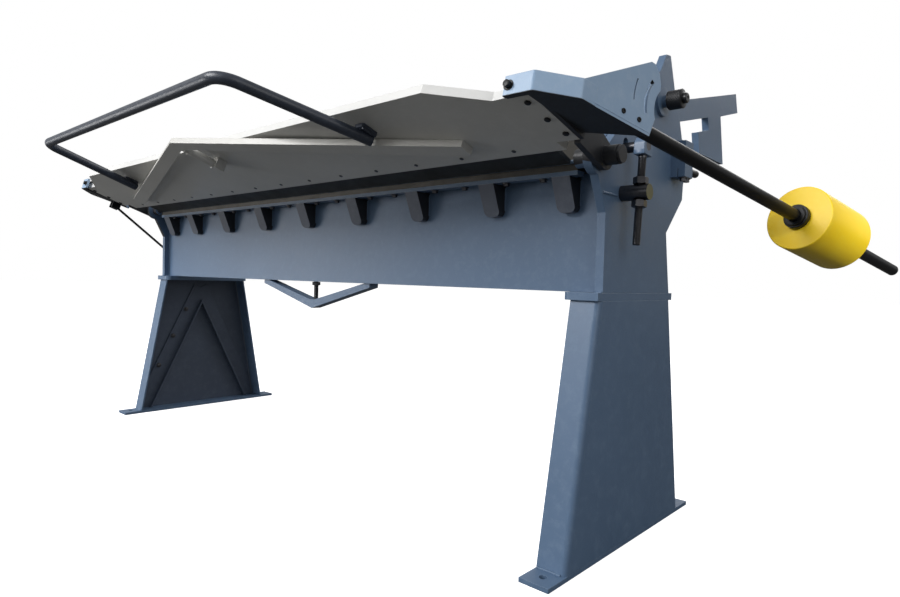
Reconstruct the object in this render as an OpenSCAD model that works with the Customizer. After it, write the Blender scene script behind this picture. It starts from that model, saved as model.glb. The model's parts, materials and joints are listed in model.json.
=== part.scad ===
/* [Working size] */
// Bending length, the length of the edge that folds the sheet
work_len = 2100; // [1500:10:2500]
// Height from the cap plates up to the bed surface
bed_h = 294; // [280:2:330]
// How far the folding leaf is raised above its flat position, in degrees
leaf_raise = 19.7; // [16:0.1:22]

/* [Feet and legs] */
// Length of a foot plate, front to back
foot_l = 722; // [680:2:900]
// Width of a foot plate
foot_w = 74; // [66:1:90]
// Thickness of a foot plate
foot_t = 10; // [6:1:20]
// Height of a folded leg
leg_h = 582; // [460:2:700]
// Depth of a leg at the floor
leg_bottom_w = 590; // [540:2:620]
// Depth of a leg under its cap plate
leg_top_w = 380; // [340:2:400]
// Sheet thickness of a leg
leg_t = 6; // [4:0.5:8]
// Outer bend radius of a leg
leg_bend_r = 14; // [10:1:20]
// Radius of an anchor hole
anchor_r = 9; // [5:0.5:12]
// Thickness of a cap plate
cap_t = 18; // [12:1:24]
// Length of a cap plate, front to back
cap_l = 396; // [384:2:420]
// Width of a cap plate
cap_w = 94; // [86:1:120]

/* [Side plates] */
// Thickness of a side plate
side_t = 20; // [14:1:24]
// Depth of a side plate at the cap plate
side_w = 356; // [340:2:380]
// Height of a head above the bed surface
head_h = 312; // [300:2:340]
// Reach of a head behind the fold axis
head_w = 500; // [490:2:540]
// Fold axis in front of the side plate's front face
pivot_out = 36; // [30:1:42]
// Radius of the fold axis pin
pivot_r = 12.5; // [10:0.5:14]

/* [Bed] */
// Thickness of the front panel
panel_t = 8; // [6:1:12]
// Front panel behind the side plate's front face
panel_inset = 23; // [18:1:30]
// Thickness of the bed surface plate
table_t = 8; // [6:1:10]
// Depth of the bed surface behind its front edge
table_l = 362; // [340:2:390]
// Gap between the fold axis and the bed edge
bed_gap = 2; // [1:0.5:4]
// Width of a gusset
gusset_w = 48; // [40:1:60]
// Height of a gusset
gusset_h = 79; // [70:1:100]

/* [Folding leaf] */
// Width of the leaf plate's front edge from the fold axis
leaf_reach = 352; // [340:1:380]
// Thickness of the leaf plate
leaf_t = 20; // [16:1:24]
// Thickness of the bending bar
bar_t = 10; // [8:0.5:12]
// Width of the bending bar
bar_w = 130; // [115:1:150]
// Diameter of the handle tube
handle_d = 27; // [22:1:34]
// Reach of the handle beyond the leaf's front edge
handle_out = 240; // [200:2:300]
// Length of the handle's cross tube between its corners
handle_len = 1138; // [900:2:1300]
// Bend radius of the handle
handle_bend_r = 60; // [45:1:90]

/* [Counterweight] */
// Diameter of the rod
rod_d = 30; // [24:1:32]
// Length of the rod
rod_l = 1250; // [1100:10:1350]
// Diameter of the weight
weight_d = 160; // [120:2:180]
// Length of the weight
weight_l = 190; // [120:2:240]
// Start of the weight along the rod
weight_at = 742; // [660:2:800]

/* [Clamping beam] */
// Thickness of the beam's sheet
beam_t = 12; // [8:1:14]
// Length of the beam's sloping front
beam_slope = 190; // [170:2:200]
// Depth of the beam's top
beam_top = 84; // [70:2:100]
// Thickness of a finger
finger_t = 22; // [18:1:26]
// Length of a finger along its slope
finger_l = 230; // [210:2:240]
// Flat land on a finger's nose
finger_land = 22; // [16:1:26]
// Gap between neighbouring fingers
finger_gap = 0.6; // [0.4:0.1:1.5]
// Thickness of a clamping lever
lever_t = 20; // [14:1:24]
// Reach of a clamping lever behind the fold axis
lever_reach = 955; // [900:5:1000]

/* [Adjusters] */
// Diameter of the adjusting stud
stud_d = 18; // [14:1:20]
// Length of the adjusting stud under its eye
stud_l = 224; // [200:2:240]
// Diameter of the cross pin that the stud passes through
cross_d = 36; // [32:1:40]
// Length of the cross pin outside the side plate
cross_l = 66; // [62:1:76]
// Diameter of the knurled knob
knob_d = 47; // [38:1:56]
// Length of the knurled knob
knob_l = 36; // [30:1:44]
// Diameter of the stop rod at the left end
stop_d = 10; // [8:0.5:12]
// Length of the stop rod
stop_l = 404; // [390:2:440]

/* [Hidden] */
$fn = 64;

// Overrun of every cut, clearance of pins in bores, and the small gap between moving faces
over = 1;
fit_gap = 0.05;
run_gap = 0.4;

paint = "#6a8299";
paint_light = "#8fa9c2";
white_paint = "#b9b8b2";
black = "#26262a";
steel = "#5a5955";
yellow = "#f2cc20";

// Room beside each end of the bending edge, and the free width between the side plates
end_room = 50;
span = work_len + 2 * end_room;

// Heights and faces of the frame
cap_z = foot_t + leg_h;
cap_top = cap_z + cap_t;
table_z = cap_top + bed_h;
xi = span / 2;
xo = xi + side_t;
front_y = -side_w / 2;
pivot_y = front_y - pivot_out;
panel_y = front_y + panel_inset;
bed_edge_y = pivot_y + bed_gap;

// Anchor holes from the foot's end, leg corners and the slant of a leg's edges
anchor_inset = 37;
leg_run = 34;
leg_slant = atan((leg_bottom_w - leg_top_w) / 2 / leg_h);
cap_corner_r = 22;
weld_r = 3;

// Braces inside a leg: share of the leg's depth and height at the foot and at the apex
brace_t = 6;
brace_w = 26;
brace_foot_share = 0.39;
brace_apex_share = 0.814;
brace_clear_share = 1.6;
strip_w = 66;
strip_bolt_share = 0.77;
brace_bolt_shares = [0.35, 0.63, 0.89];

// Bolt sizes: across-corners radius and height of the head, washer, shank
m8_head_r = 7.5;
m8_head_h = 5.5;
m8_r = 4;
cap_head_r = 5.5;
cap_head_h = 3.5;
flush_head_h = 1.2;
m12_head_r = 10.5;
m12_head_h = 8;
m12_r = 6;
washer_t = 2.5;
washer_more = 3;

// Hub and boss round the fold axis
housing_r = 38;
boss_r = 21;
boss_l = 32;
pin_head_r = 19;
pin_head_t = 6;
hub_out_l = 48;

// Bed parts under the surface
nose_t = 15;
nose_w = 56;
packing_t = 10;
packing_w = 30;
panel_flange = 50;
rear_panel_h = 136;
gusset_t = 5;
gusset_top_d = 52;
gusset_foot_d = 20;
gusset_corner_r = 15;
gusset_shares = [0, 0.1215, 0.243, 0.3645, 0.4632];
table_notch = 36;
table_notch_d = 26;

// Crowning truss under the bed
bed_truss_half = 301;
bed_truss_drop = 92;
bed_truss_h = 26;
bed_truss_d = 36;
bed_truss_y = panel_y + panel_t + 16;
truss_screw_r = 8;
leaf_screw_r = 12;
truss_nut_r = 15;
truss_nut_h = 12;
truss_nut_share = 0.78;
truss_seat = 4.6;

// Leaf outline from the middle: shares of half its length and of its reach
leaf_half = xo + 22;
leaf_front_share = 0.800;
leaf_corner_share = [0.9125, 0.808];
leaf_ear_share = [0.9875, 0.8117];
leaf_end_share = [1, 0.335];
leaf_notch_share = [0.954, 0.338];
leaf_rear_share = [0.959, 0.25];
leaf_low = bar_t + leaf_t;

// Truss in front of the leaf
leaf_truss_w = 38;
leaf_truss_t = 17;
leaf_truss_end_share = 0.76;
leaf_truss_back = 191;
leaf_truss_out = 82;
leaf_truss_drop = 12;

// Handle feet
handle_foot_x_share = 0.591;
handle_foot_back = 94;
handle_pad_t = 4;
handle_drop = 24;
handle_wall = 3;
handle_swage = 0.15;

// Arm at the end of the leaf, in the plane of its own floor plate
arm_yaw = 16;
arm_pitch = 6;
arm_t = 8;
arm_floor_t = 6;
arm_elbow_share = 0.6804;
arm_elbow_u = arm_elbow_share * leaf_reach;
arm_elbow_out = 91;
arm_band_h = 40;
arm_tip = [-105, -97];
arm_bend = [-47, -77];
arm_side_l = 198;
arm_floor_l = 181;
arm_inner = [-92, 92];
arm_corner = [-64, -70];
arm_tip_back = [-105, -85];
arm_rise = 150;
arm_slot_r = 85;
arm_slot_w = 8;
arm_slot_at = [246, 66];
arm_cut_r = 60;
arm_scribe_r = 118;
arm_scribe_w = 3;
arm_web_t = 14;
arm_web_gap = 3;
arm_web_share = 1.1025;
arm_base_t = 12;
arm_step_t = 10;
arm_rod_h = arm_floor_t + rod_d / 2 + run_gap;
arm_rod_in = arm_t + rod_d / 2 + run_gap;
rod_start = 20;
arm_bolt_shares = [[0.971, 0.739], [0.977, 0.567], [0.986, 0.413]];

// Collar and bore of the weight
collar_r = 30;
collar_l = 20;
weight_round = 12;
set_screw_r = 5;

// Clamping beam: start of its slope from the finger's nose, its lower back edge
nose_back = 7;
nose_up = 1;
slope_deg = 45;
beam_start = 60;
beam_back_h = 66;
beam_foot_l = 90;
finger_shares = [0.024, 0.036, 0.048, 0.060, 0.072, 0.095, 0.119, 0.143, 0.167, 0.236];
finger_bar_at = 170;
finger_bar_w = 44;
finger_bar_t = 9;

// Fulcrum, cross pin and lock pin: behind the fold axis and above or below the bed
fulcrum_back = 119;
fulcrum_up = 38;
fulcrum_r = 12;
cross_dist = 105;
stud_x = 43;
stud_lean = 4.5;
stud_short = 24;
eye_w = 26;
eye_h = 44;
eye_d = 40;
nut_r = 17;
nut_h = 16;
lift = 12;
lock_back = 302;
lock_up = 184;
lock_r = 9;
lock_disc_r = 36;
lock_disc_t = 8;
knob_cap_share = 0.3;
knob_cap_r_share = 0.27;
lock_sleeve_r = 15;
lock_sleeve_l = 12;
lock_travel = lock_sleeve_l - over;
side_gap = 5;

// Block for the rods of a back gauge on the outer face
gauge_back = 400;
gauge_up = 30;
gauge_w = 50;
gauge_h = 46;
gauge_more = 46;
gauge_wall = 9;
gauge_out = 38;
gauge_r = 10;
gauge_pin_l = 110;

// Stop rod beside the left side plate: leaf end, slope at rest, distance to its swivel
stop_x = xo + 85;
stop_u = 136.8;
stop_w = 36.2;
stop_slope = 38.8;
stop_span = 300;
stop_bore_gap = 3.2;
stop_pin_r = 8;
stop_knuckle_r = 11;
stop_cheek_t = 8;
stop_cheek_w = 34;
stop_cheek_h = 12;

// Basic shapes
module at_end(s) { mirror([s < 0 ? 1 : 0, 0, 0]) children(); }
module both() { at_end(1) children(); at_end(-1) children(); }
module box(a, b) { translate(a) cube(b - a); }
module plate_x(x, t, pts) { translate([x, 0, 0]) rotate([90, 0, 90]) linear_extrude(t) polygon(pts); }
module rod_x(x, l, r) { translate([x, 0, 0]) rotate([0, 90, 0]) cylinder(h = l, r = r); }
module bore_x(x, l, r) { rod_x(x - over, l + 2 * over, r); }
module hex(r, h) { cylinder(h = h, r = r, $fn = 6); }

// Bolt head with its washer, standing on the plane z = 0 and pointing up
module head(r, h) {
  cylinder(h = washer_t, r = r + washer_more);
  translate([0, 0, washer_t]) hex(r, h);
}

// Flat plate with one rounded corner at its upper right
module corner_plate(w, l, t, r) {
  linear_extrude(t) union() {
    square([w - r, l]);
    translate([0, r]) square([w, l - 2 * r]);
    translate([w - r, r]) circle(r);
    translate([w - r, l - r]) circle(r);
  }
}

// Places: the fold axis, the leaf's own frame, the fulcrum of the clamping beam and its stud
module at_axis() { translate([0, pivot_y, table_z]) children(); }
module on_leaf() { at_axis() rotate([-leaf_raise, 0, 0]) children(); }
module at_fulcrum() { translate([0, pivot_y + fulcrum_back, table_z + fulcrum_up]) children(); }
module at_stud() { at_fulcrum() rotate([-stud_lean, 0, 0]) children(); }
module at_cross() { at_stud() translate([0, 0, -cross_dist]) children(); }
module at_lock() { translate([0, pivot_y + lock_back, table_z + lock_up]) children(); }

// Feet, legs and caps
module foot_plate() {
  color(paint) difference() {
    box([xo - foot_w, -foot_l / 2, 0], [xo, foot_l / 2, foot_t]);
    for (s = [-1, 1]) translate([xo - foot_w / 2, s * (foot_l / 2 - anchor_inset), -over])
      cylinder(h = foot_t + 2 * over, r = anchor_r);
  }
}

module leg_corner() {
  translate([0, -leg_bottom_w / 2, foot_t]) rotate([-leg_slant, 0, 0]) translate([0, 0, -leg_run])
    linear_extrude(leg_h / cos(leg_slant) + 2 * leg_run) union() {
      translate([xo - leg_t, leg_bend_r]) square([leg_t, leg_run]);
      translate([xo - foot_w, 0]) square([foot_w - leg_bend_r, leg_t]);
      intersection() {
        translate([xo - leg_bend_r, 0]) square(leg_bend_r);
        translate([xo - leg_bend_r, leg_bend_r]) difference() {
          circle(leg_bend_r);
          circle(leg_bend_r - leg_t);
        }
      }
    }
}

module leg() {
  inset = leg_bend_r + leg_run / 2;
  color(paint) intersection() {
    box([xo - foot_w, -foot_l / 2, foot_t], [xo, foot_l / 2, cap_z]);
    union() {
      leg_corner();
      mirror([0, 1, 0]) leg_corner();
      plate_x(xo - leg_t, leg_t, [
        [inset - leg_bottom_w / 2, foot_t], [leg_bottom_w / 2 - inset, foot_t],
        [leg_top_w / 2 - inset, cap_z], [inset - leg_top_w / 2, cap_z]]);
    }
  }
}

// Half of the inverted V on the inner face of a leg, as points from foot to apex
brace_foot = [-leg_bottom_w * brace_foot_share, foot_t];
brace_apex = [0, foot_t + leg_h * brace_apex_share];
brace_len = norm(brace_apex - brace_foot);
brace_deg = atan2(brace_apex[1] - brace_foot[1], brace_apex[0] - brace_foot[0]);

module on_brace(x) {
  translate([x, brace_foot[0], brace_foot[1]]) rotate([brace_deg, 0, 0]) children();
}

module leg_brace() {
  color(paint) intersection() {
    box([xo - foot_w, -foot_l / 2, foot_t], [xo - leg_t, foot_l / 2, cap_z]);
    union() {
      for (s = [0, 1]) mirror([0, s, 0]) intersection() {
        on_brace(xo - leg_t - brace_w - fit_gap) union() {
          box([0, -strip_w, 0], [brace_w, brace_len + strip_w, brace_t]);
          box([brace_w - brace_t, -strip_w, 0], [brace_w, brace_len + strip_w, strip_w]);
        }
        plate_x(xo - foot_w, foot_w, [
          [brace_clear_share * leg_bend_r - leg_bottom_w / 2, foot_t], [0, foot_t],
          [0, cap_z], [brace_clear_share * leg_bend_r - leg_top_w / 2, cap_z]]);
      }
    }
  }
}

module brace_bolt_set() {
  for (t = brace_bolt_shares) on_brace(xo - leg_t - brace_t - fit_gap)
    translate([0, brace_len * t, strip_w * strip_bolt_share]) rotate([0, -90, 0]) head(m8_head_r, m8_head_h);
}

module cap_plate() {
  color(paint) union() {
    translate([xo, -cap_l / 2, cap_z]) mirror([1, 0, 0]) corner_plate(cap_w, cap_l, cap_t, cap_corner_r);
  }
}

// Side plate with its column, its pin housing and its head
function col_pt(y_share, z_share) = [front_y + y_share * side_w, cap_top + z_share * bed_h];
function head_pt(y_share, z_share) = [pivot_y + y_share * head_w, table_z + z_share * head_h];
side_outline = [
  col_pt(0, 0), col_pt(0, 0.605), col_pt(-0.132, 0.925), col_pt(-0.10, 1),
  head_pt(0.06, 0.087), head_pt(0.588, 0.837), head_pt(0.65, 0.99), head_pt(0.7, 1),
  head_pt(0.766, 0.75), head_pt(0.848, 0.513), head_pt(0.884, 0.375), head_pt(1.002, 0.375),
  head_pt(1.022, 0.314), head_pt(0.922, 0), col_pt(1.185, 0.857), col_pt(0.916, 0.531),
  col_pt(0.955, 0.275), col_pt(1, 0)
];

module side_plate(stop) {
  slot_r = fulcrum_r + run_gap;
  color(paint) difference() {
    union() {
      plate_x(xi, side_t, side_outline);
      at_axis() rod_x(xi, side_t, housing_r);
      at_axis() rod_x(xi - boss_l, boss_l + side_t, boss_r);
      at_lock() rod_x(xi, side_t + lock_disc_t, lock_disc_r);
      at_lock() rod_x(xi, side_t + lock_disc_t + lock_sleeve_l, lock_sleeve_r);
      intersection() {
        translate([xo, front_y - side_w * 0.045, cap_top + bed_h * 0.748]) rotate([-90, 0, 0])
          cylinder(h = side_w * 0.19, r = weld_r);
        box([xi, front_y - side_w * 0.05, cap_top], [xo + weld_r, 0, table_z]);
      }
    }
    at_axis() bore_x(xi - boss_l, boss_l + side_t, pivot_r + fit_gap);
    at_lock() bore_x(xi, side_t + lock_disc_t + lock_sleeve_l, lock_r + fit_gap);
    at_cross() bore_x(xi, side_t, cross_d / 2 + fit_gap);
    at_fulcrum() bore_x(xi, side_t, slot_r);
    at_stud() translate([0, 0, lift]) bore_x(xi, side_t, slot_r);
    at_stud() box([xi - over, -slot_r, 0], [xo + over, slot_r, lift]);
    if (stop > 0) translate([0, stop_to[0], stop_to[1]]) bore_x(xi, side_t, stop_pin_r + fit_gap);
  }
}

// Bed
module bed_panel() {
  top = table_z - table_t;
  color(paint) plate_x(-xi, span, [
    [panel_y, cap_top], [panel_y + panel_flange, cap_top], [panel_y + panel_flange, cap_top + panel_t],
    [panel_y + panel_t, cap_top + panel_t], [panel_y + panel_t, top], [panel_y, top]]);
}

module bed_rear_panel() {
  back = bed_edge_y + table_l;
  color(paint) box([-xi, back - panel_t, table_z - table_t - rear_panel_h], [xi, back, table_z - table_t]);
}

module bed_table() {
  color(paint) difference() {
    box([-xi, bed_edge_y, table_z - table_t], [xi, bed_edge_y + table_l, table_z]);
    both() box([xi - table_notch, bed_edge_y - over, table_z - table_t - over],
               [xi + over, bed_edge_y + table_notch_d, table_z + over]);
  }
}

nose_z = table_z - table_t - nose_t;
module nose_bar() {
  color(paint) box([table_notch - xi, panel_y - nose_w + over * 3, nose_z],
                   [xi - table_notch, panel_y, nose_z + nose_t]);
}

packing_y = panel_y - nose_w + over * 3;
packing_z = nose_z - packing_t;
module packing_bar() {
  color(paint) box([table_notch - xi, packing_y, packing_z], [xi - table_notch, packing_y + packing_w, nose_z]);
}

module packing_bolts() {
  pitch = gusset_shares[1] * span;
  color(steel) both() for (i = [0 : 3], s = [-1, 1])
    translate([span * (gusset_shares[i] + gusset_shares[i + 1]) / 2 + s * pitch / 5, packing_y + packing_w / 2, packing_z])
      mirror([0, 0, 1]) head(m8_head_r, m8_head_h);
}

module gusset() {
  top = packing_z;
  low = top - gusset_h;
  difference() {
    intersection() {
      plate_x(-gusset_w / 2, gusset_w, [
        [panel_y, low], [panel_y - gusset_foot_d, low], [panel_y - gusset_top_d, top], [panel_y, top]]);
      translate([0, panel_y + over, 0]) rotate([90, 0, 0]) linear_extrude(gusset_top_d + 2 * over) union() {
        translate([-gusset_w / 2, low + gusset_corner_r]) square([gusset_w, gusset_h]);
        translate([gusset_corner_r - gusset_w / 2, low]) square([gusset_w - 2 * gusset_corner_r, gusset_h]);
        for (s = [-1, 1]) translate([s * (gusset_w / 2 - gusset_corner_r), low + gusset_corner_r]) circle(gusset_corner_r);
      }
    }
    plate_x(gusset_t - gusset_w / 2, gusset_w - 2 * gusset_t, [
      [panel_y + over, low + gusset_corner_r], [panel_y - gusset_foot_d, low + gusset_corner_r],
      [panel_y - gusset_top_d + gusset_t, top + over], [panel_y + over, top + over]]);
  }
}

module gussets() {
  color(paint) for (i = [0 : len(gusset_shares) - 1], s = i == 0 ? [1] : [-1, 1])
    translate([s * gusset_shares[i] * span, 0, 0]) gusset();
}

module bed_truss() {
  color(paint_light) intersection() {
    union() for (s = [0, 1]) mirror([s, 0, 0]) rotate([90, 0, 0]) translate([0, 0, -bed_truss_y - bed_truss_d / 2])
      linear_extrude(bed_truss_d) polygon([
        [0, cap_top - bed_truss_drop], [bed_truss_half, cap_top - bed_truss_h / 2], [bed_truss_half, cap_top],
        [bed_truss_half - bed_truss_h, cap_top], [truss_nut_r, cap_top - bed_truss_drop + bed_truss_h + truss_seat],
        [0, cap_top - bed_truss_drop + bed_truss_h + truss_seat]]);
    box([-xi, -side_w, 0], [xi, side_w, cap_top]);
  }
}

module bed_truss_screw() {
  foot = cap_top - bed_truss_drop + bed_truss_h + truss_seat;
  color(steel) translate([0, bed_truss_y, foot]) union() {
    cylinder(h = cap_top - foot, r = truss_screw_r);
    translate([0, 0, (cap_top - foot) * truss_nut_share]) hex(truss_nut_r, truss_nut_h);
  }
}

module pivot_pins() {
  color(steel) both() at_axis() union() {
    rod_x(xi - boss_l, boss_l + side_t + hub_out_l + 2 * run_gap, pivot_r);
    rod_x(xo + hub_out_l + 2 * run_gap, pin_head_t, pin_head_r);
  }
}

// Adjusters of the fulcrum outside the side plates
module cross_pins() {
  color(steel) both() difference() {
    at_cross() rod_x(xi, side_t + cross_l, cross_d / 2);
    at_cross() translate([xo + stud_x, 0, -cross_d]) cylinder(h = 2 * cross_d, r = stud_d / 2 + fit_gap);
  }
}

module adjusting_nuts() {
  color(steel) both() for (z = [cross_d / 2, -cross_d / 2 - nut_h]) difference() {
    at_cross() translate([xo + stud_x, 0, z]) hex(nut_r, nut_h);
    at_cross() translate([xo + stud_x, 0, z - over]) cylinder(h = nut_h + 2 * over, r = stud_d / 2 + fit_gap);
  }
}

module eye_bolt(l) {
  translate([xo + stud_x, 0, 0]) at_stud() difference() {
    union() {
      box([-eye_w / 2, -eye_d / 2, -eye_h / 2], [eye_w / 2, eye_d / 2, 0]);
      rod_x(-eye_w / 2, eye_w, eye_d / 2);
      translate([0, 0, -l]) cylinder(h = l, r = stud_d / 2);
    }
    bore_x(-eye_w / 2, eye_w, fulcrum_r + fit_gap);
  }
}

// The left stud ends above the pin of the stop rod's swivel
module eye_bolts() {
  color(paint_light) {
    eye_bolt(stud_l);
    at_end(-1) eye_bolt(stud_l - stud_short);
  }
}

// Blocks for the gauge rods
module at_gauge() { translate([xo, pivot_y + gauge_back, table_z + gauge_up]) children(); }

module gauge_blocks() {
  color(paint_light) both() at_gauge() difference() {
    box([0, -gauge_w / 2, -gauge_h / 2], [gauge_out, gauge_w / 2, gauge_h / 2 + gauge_more]);
    translate([gauge_out / 2, gauge_wall - gauge_w / 2, 0]) rotate([-90, 0, 0]) cylinder(h = gauge_w, r = gauge_r + fit_gap);
    box([gauge_out / 2 - over, -gauge_w, -gauge_h], [gauge_out / 2 + over, gauge_w, 0]);
  }
}

module gauge_bolts() {
  color(steel) both() for (s = [-1, 1]) at_gauge()
    translate([gauge_out * 0.73, s * gauge_w / 4, -gauge_h / 2]) mirror([0, 0, 1]) head(m8_head_r, m12_head_h);
}

module gauge_pins() {
  color(black) both() at_gauge() translate([gauge_out / 2, gauge_wall - gauge_w / 2 + run_gap, 0]) rotate([-90, 0, 0])
    cylinder(h = gauge_pin_l, r = gauge_r);
}

// Folding leaf, in its own frame: y is minus the distance from the fold axis, z = 0 the working face
function leaf_pt(share) = [share[0] * leaf_half, -share[1] * leaf_reach];
leaf_side = [
  leaf_pt([leaf_front_share, 1]), leaf_pt(leaf_corner_share), leaf_pt(leaf_ear_share),
  leaf_pt(leaf_end_share), leaf_pt(leaf_notch_share), leaf_pt(leaf_rear_share)
];
leaf_other = [for (i = [len(leaf_side) - 1 : -1 : 0]) [-leaf_side[i][0], leaf_side[i][1]]];
bar_screw_count = 14;
bar_screw_y = -leaf_pt(leaf_rear_share)[1] + bar_w;
bar_screw_line = -(leaf_rear_share[1] * leaf_reach + bar_w) / 2;

module leaf_plate() {
  color(white_paint) on_leaf() difference() {
    translate([0, 0, -leaf_low]) linear_extrude(leaf_t) polygon(concat(leaf_side, leaf_other));
    both() for (p = arm_bolt_shares) translate([p[0] * leaf_half, -p[1] * leaf_reach, -leaf_low - over])
      cylinder(h = leaf_t + 2 * over, r = m12_r + run_gap);
    for (i = [0 : bar_screw_count - 1]) translate([bar_screw_x(i), bar_screw_line, -leaf_low - over])
      cylinder(h = leaf_t + 2 * over, r = m8_r + run_gap);
  }
}

function bar_screw_x(i) = work_len * ((i + 0.5) / bar_screw_count - 0.5);

module bending_bar() {
  color(white_paint) on_leaf() difference() {
    box([-work_len / 2, -bar_w, -bar_t], [work_len / 2, -over, 0]);
    for (i = [0 : bar_screw_count - 1]) translate([bar_screw_x(i), bar_screw_line, -bar_t - over])
      cylinder(h = bar_t * 0.7 + over, r = m8_r + run_gap);
  }
}

module bar_screws() {
  color(steel) on_leaf() for (i = [0 : bar_screw_count - 1]) translate([bar_screw_x(i), bar_screw_line, -leaf_low]) {
    mirror([0, 0, 1]) cylinder(h = flush_head_h, r = cap_head_r);
    cylinder(h = leaf_t + bar_t / 2, r = m8_r);
  }
}

leaf_truss_x = leaf_truss_end_share * leaf_half;
leaf_truss_tilt = atan(leaf_truss_drop / leaf_truss_x);

module leaf_truss() {
  tip = leaf_reach + leaf_truss_out;
  foot = leaf_reach - leaf_truss_back;
  color(white_paint) on_leaf() for (s = [0, 1]) mirror([s, 0, 0]) intersection() {
    translate([leaf_truss_x, 0, -leaf_low]) rotate([0, -leaf_truss_tilt, 0]) translate([-leaf_truss_x, 0, -leaf_truss_t])
      linear_extrude(leaf_truss_t) polygon([
        [-over, -tip], [0, -tip], [leaf_truss_x * 1.02, -foot - leaf_truss_w * 0.5], [leaf_truss_x * 1.02, -foot + leaf_truss_w * 0.5],
        [leaf_truss_x * 0.98, -foot + leaf_truss_w * 0.5], [truss_nut_r, leaf_truss_w + truss_seat - tip],
        [-over, leaf_truss_w + truss_seat - tip]]);
    box([0, -2 * tip, -2 * tip], [2 * xo, 0, -leaf_low]);
  }
}

module leaf_truss_screw() {
  start = leaf_reach * 0.8;
  tip = leaf_reach + leaf_truss_out - leaf_truss_w - truss_seat;
  h = leaf_low + leaf_truss_drop + leaf_truss_t / 2;
  color(steel) on_leaf() union() {
    box([-truss_nut_r, -start - truss_nut_r, -h - leaf_screw_r], [truss_nut_r, -start + truss_nut_r, -leaf_low]);
    translate([0, -start, -h]) rotate([90, 0, 0]) cylinder(h = tip - start, r = leaf_screw_r);
    translate([0, -tip + 2 * truss_nut_h, -h]) rotate([90, 0, 0]) hex(truss_nut_r, truss_nut_h);
  }
}

// Handle: a bent tube in a plane that leaves the leaf's underside at a slight angle
handle_foot_x = handle_foot_x_share * leaf_half;
handle_foot_u = leaf_reach - handle_foot_back;
handle_side = [handle_foot_x - handle_len / 2, handle_out + handle_foot_back];
handle_turn = 90 - atan(handle_side[0] / handle_side[1]);
handle_tangent = handle_bend_r * tan(handle_turn / 2);
handle_leg = norm(handle_side) - handle_tangent;
handle_sink = atan(handle_drop / handle_side[1]);

module handle_path(r, leg_r, more) {
  for (s = [0, 1]) mirror([s, 0, 0]) {
    translate([handle_len / 2 - handle_tangent, handle_bend_r - handle_side[1], 0]) rotate([0, 0, -90]) union() {
      rotate_extrude(angle = handle_turn) translate([handle_bend_r, 0]) circle(r);
      rotate([0, 0, handle_turn]) translate([handle_bend_r, -over, 0]) rotate([-90, 0, 0])
        cylinder(h = handle_leg + more + over, r = leg_r);
    }
    translate([0, -handle_side[1], 0]) rod_x(0, handle_len / 2 - handle_tangent, r);
  }
}

module handle() {
  color(black) on_leaf() union() {
    translate([0, -handle_foot_u, -leaf_low - handle_pad_t - handle_d / 2]) rotate([handle_sink, 0, 0]) difference() {
      handle_path(handle_d / 2 - handle_swage, handle_d / 2, 0);
      handle_path(handle_d / 2 - handle_wall, handle_d / 2 - handle_wall - handle_swage, over);
    }
    both() translate([handle_foot_x, -handle_foot_u - handle_d, -leaf_low - handle_pad_t - handle_d / 4])
      box([-handle_d / 2, -handle_d, 0], [handle_d / 2, handle_d, handle_pad_t + handle_d / 4]);
  }
}

// Arm: its own frame has x outwards, y to the rear along the side wall, z up from the floor plate
module on_arm() {
  on_leaf() translate([xo + arm_elbow_out, -arm_elbow_u, -leaf_low]) rotate([arm_pitch, 0, -arm_yaw]) children();
}

module wall(a, b, h) {
  d = b - a;
  translate([a[0], a[1], 0]) rotate([0, 0, atan2(d[1], d[0])]) box([0, 0, 0], [norm(d), arm_t, h]);
}

module arm_arc(r, w, low, high) {
  translate([-arm_t - over, arm_slot_at[0], arm_slot_at[1]]) rotate([90, 0, 90]) intersection() {
    linear_extrude(arm_t + 2 * over) difference() { circle(r + w / 2); circle(r - w / 2); }
    translate([0, 0, 0]) linear_extrude(arm_t + 2 * over)
      polygon([[0, 0], [-2 * r, -2 * r * low], [-2 * r, 2 * r * high]]);
  }
}

module arm_shell() {
  difference() {
    union() {
      linear_extrude(arm_floor_t) polygon([
        arm_tip, arm_bend, [0, 0], [0, arm_floor_l], arm_inner, arm_corner, arm_tip_back]);
      wall(arm_tip, arm_bend, arm_band_h);
      wall(arm_bend, [0, 0], arm_band_h);
      plate_x(-arm_t, arm_t, [
        [0, 0], [arm_floor_l, 0], [arm_side_l * 0.965, arm_rise * 0.25], [arm_side_l, arm_rise * 0.4],
        [arm_side_l, arm_rise * 0.76], [arm_side_l * 0.965, arm_rise * 0.9], [arm_side_l * 0.885, arm_rise],
        [arm_side_l * 0.83, arm_rise], [0, arm_band_h]]);
    }
    arm_arc(arm_slot_r, arm_slot_w, 0.3, 0.66);
    arm_arc(arm_scribe_r, arm_scribe_w, 0.1, 0.3);
    translate([-arm_t - over, arm_slot_at[0], arm_slot_at[1]]) rotate([0, 90, 0]) cylinder(h = arm_t + 2 * over, r = arm_cut_r);
    for (y = [0.58, 0.82]) translate([-arm_t - over, arm_floor_l * y, arm_rod_h]) rotate([0, 90, 0])
      cylinder(h = arm_t + 2 * over, r = m8_r + run_gap);
  }
}

// Outer edge of the leaf's slanted end, and the base that lies on the leaf and carries the bolts
arm_edge_a = leaf_pt(leaf_ear_share);
arm_edge_b = leaf_pt(leaf_end_share);

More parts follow.
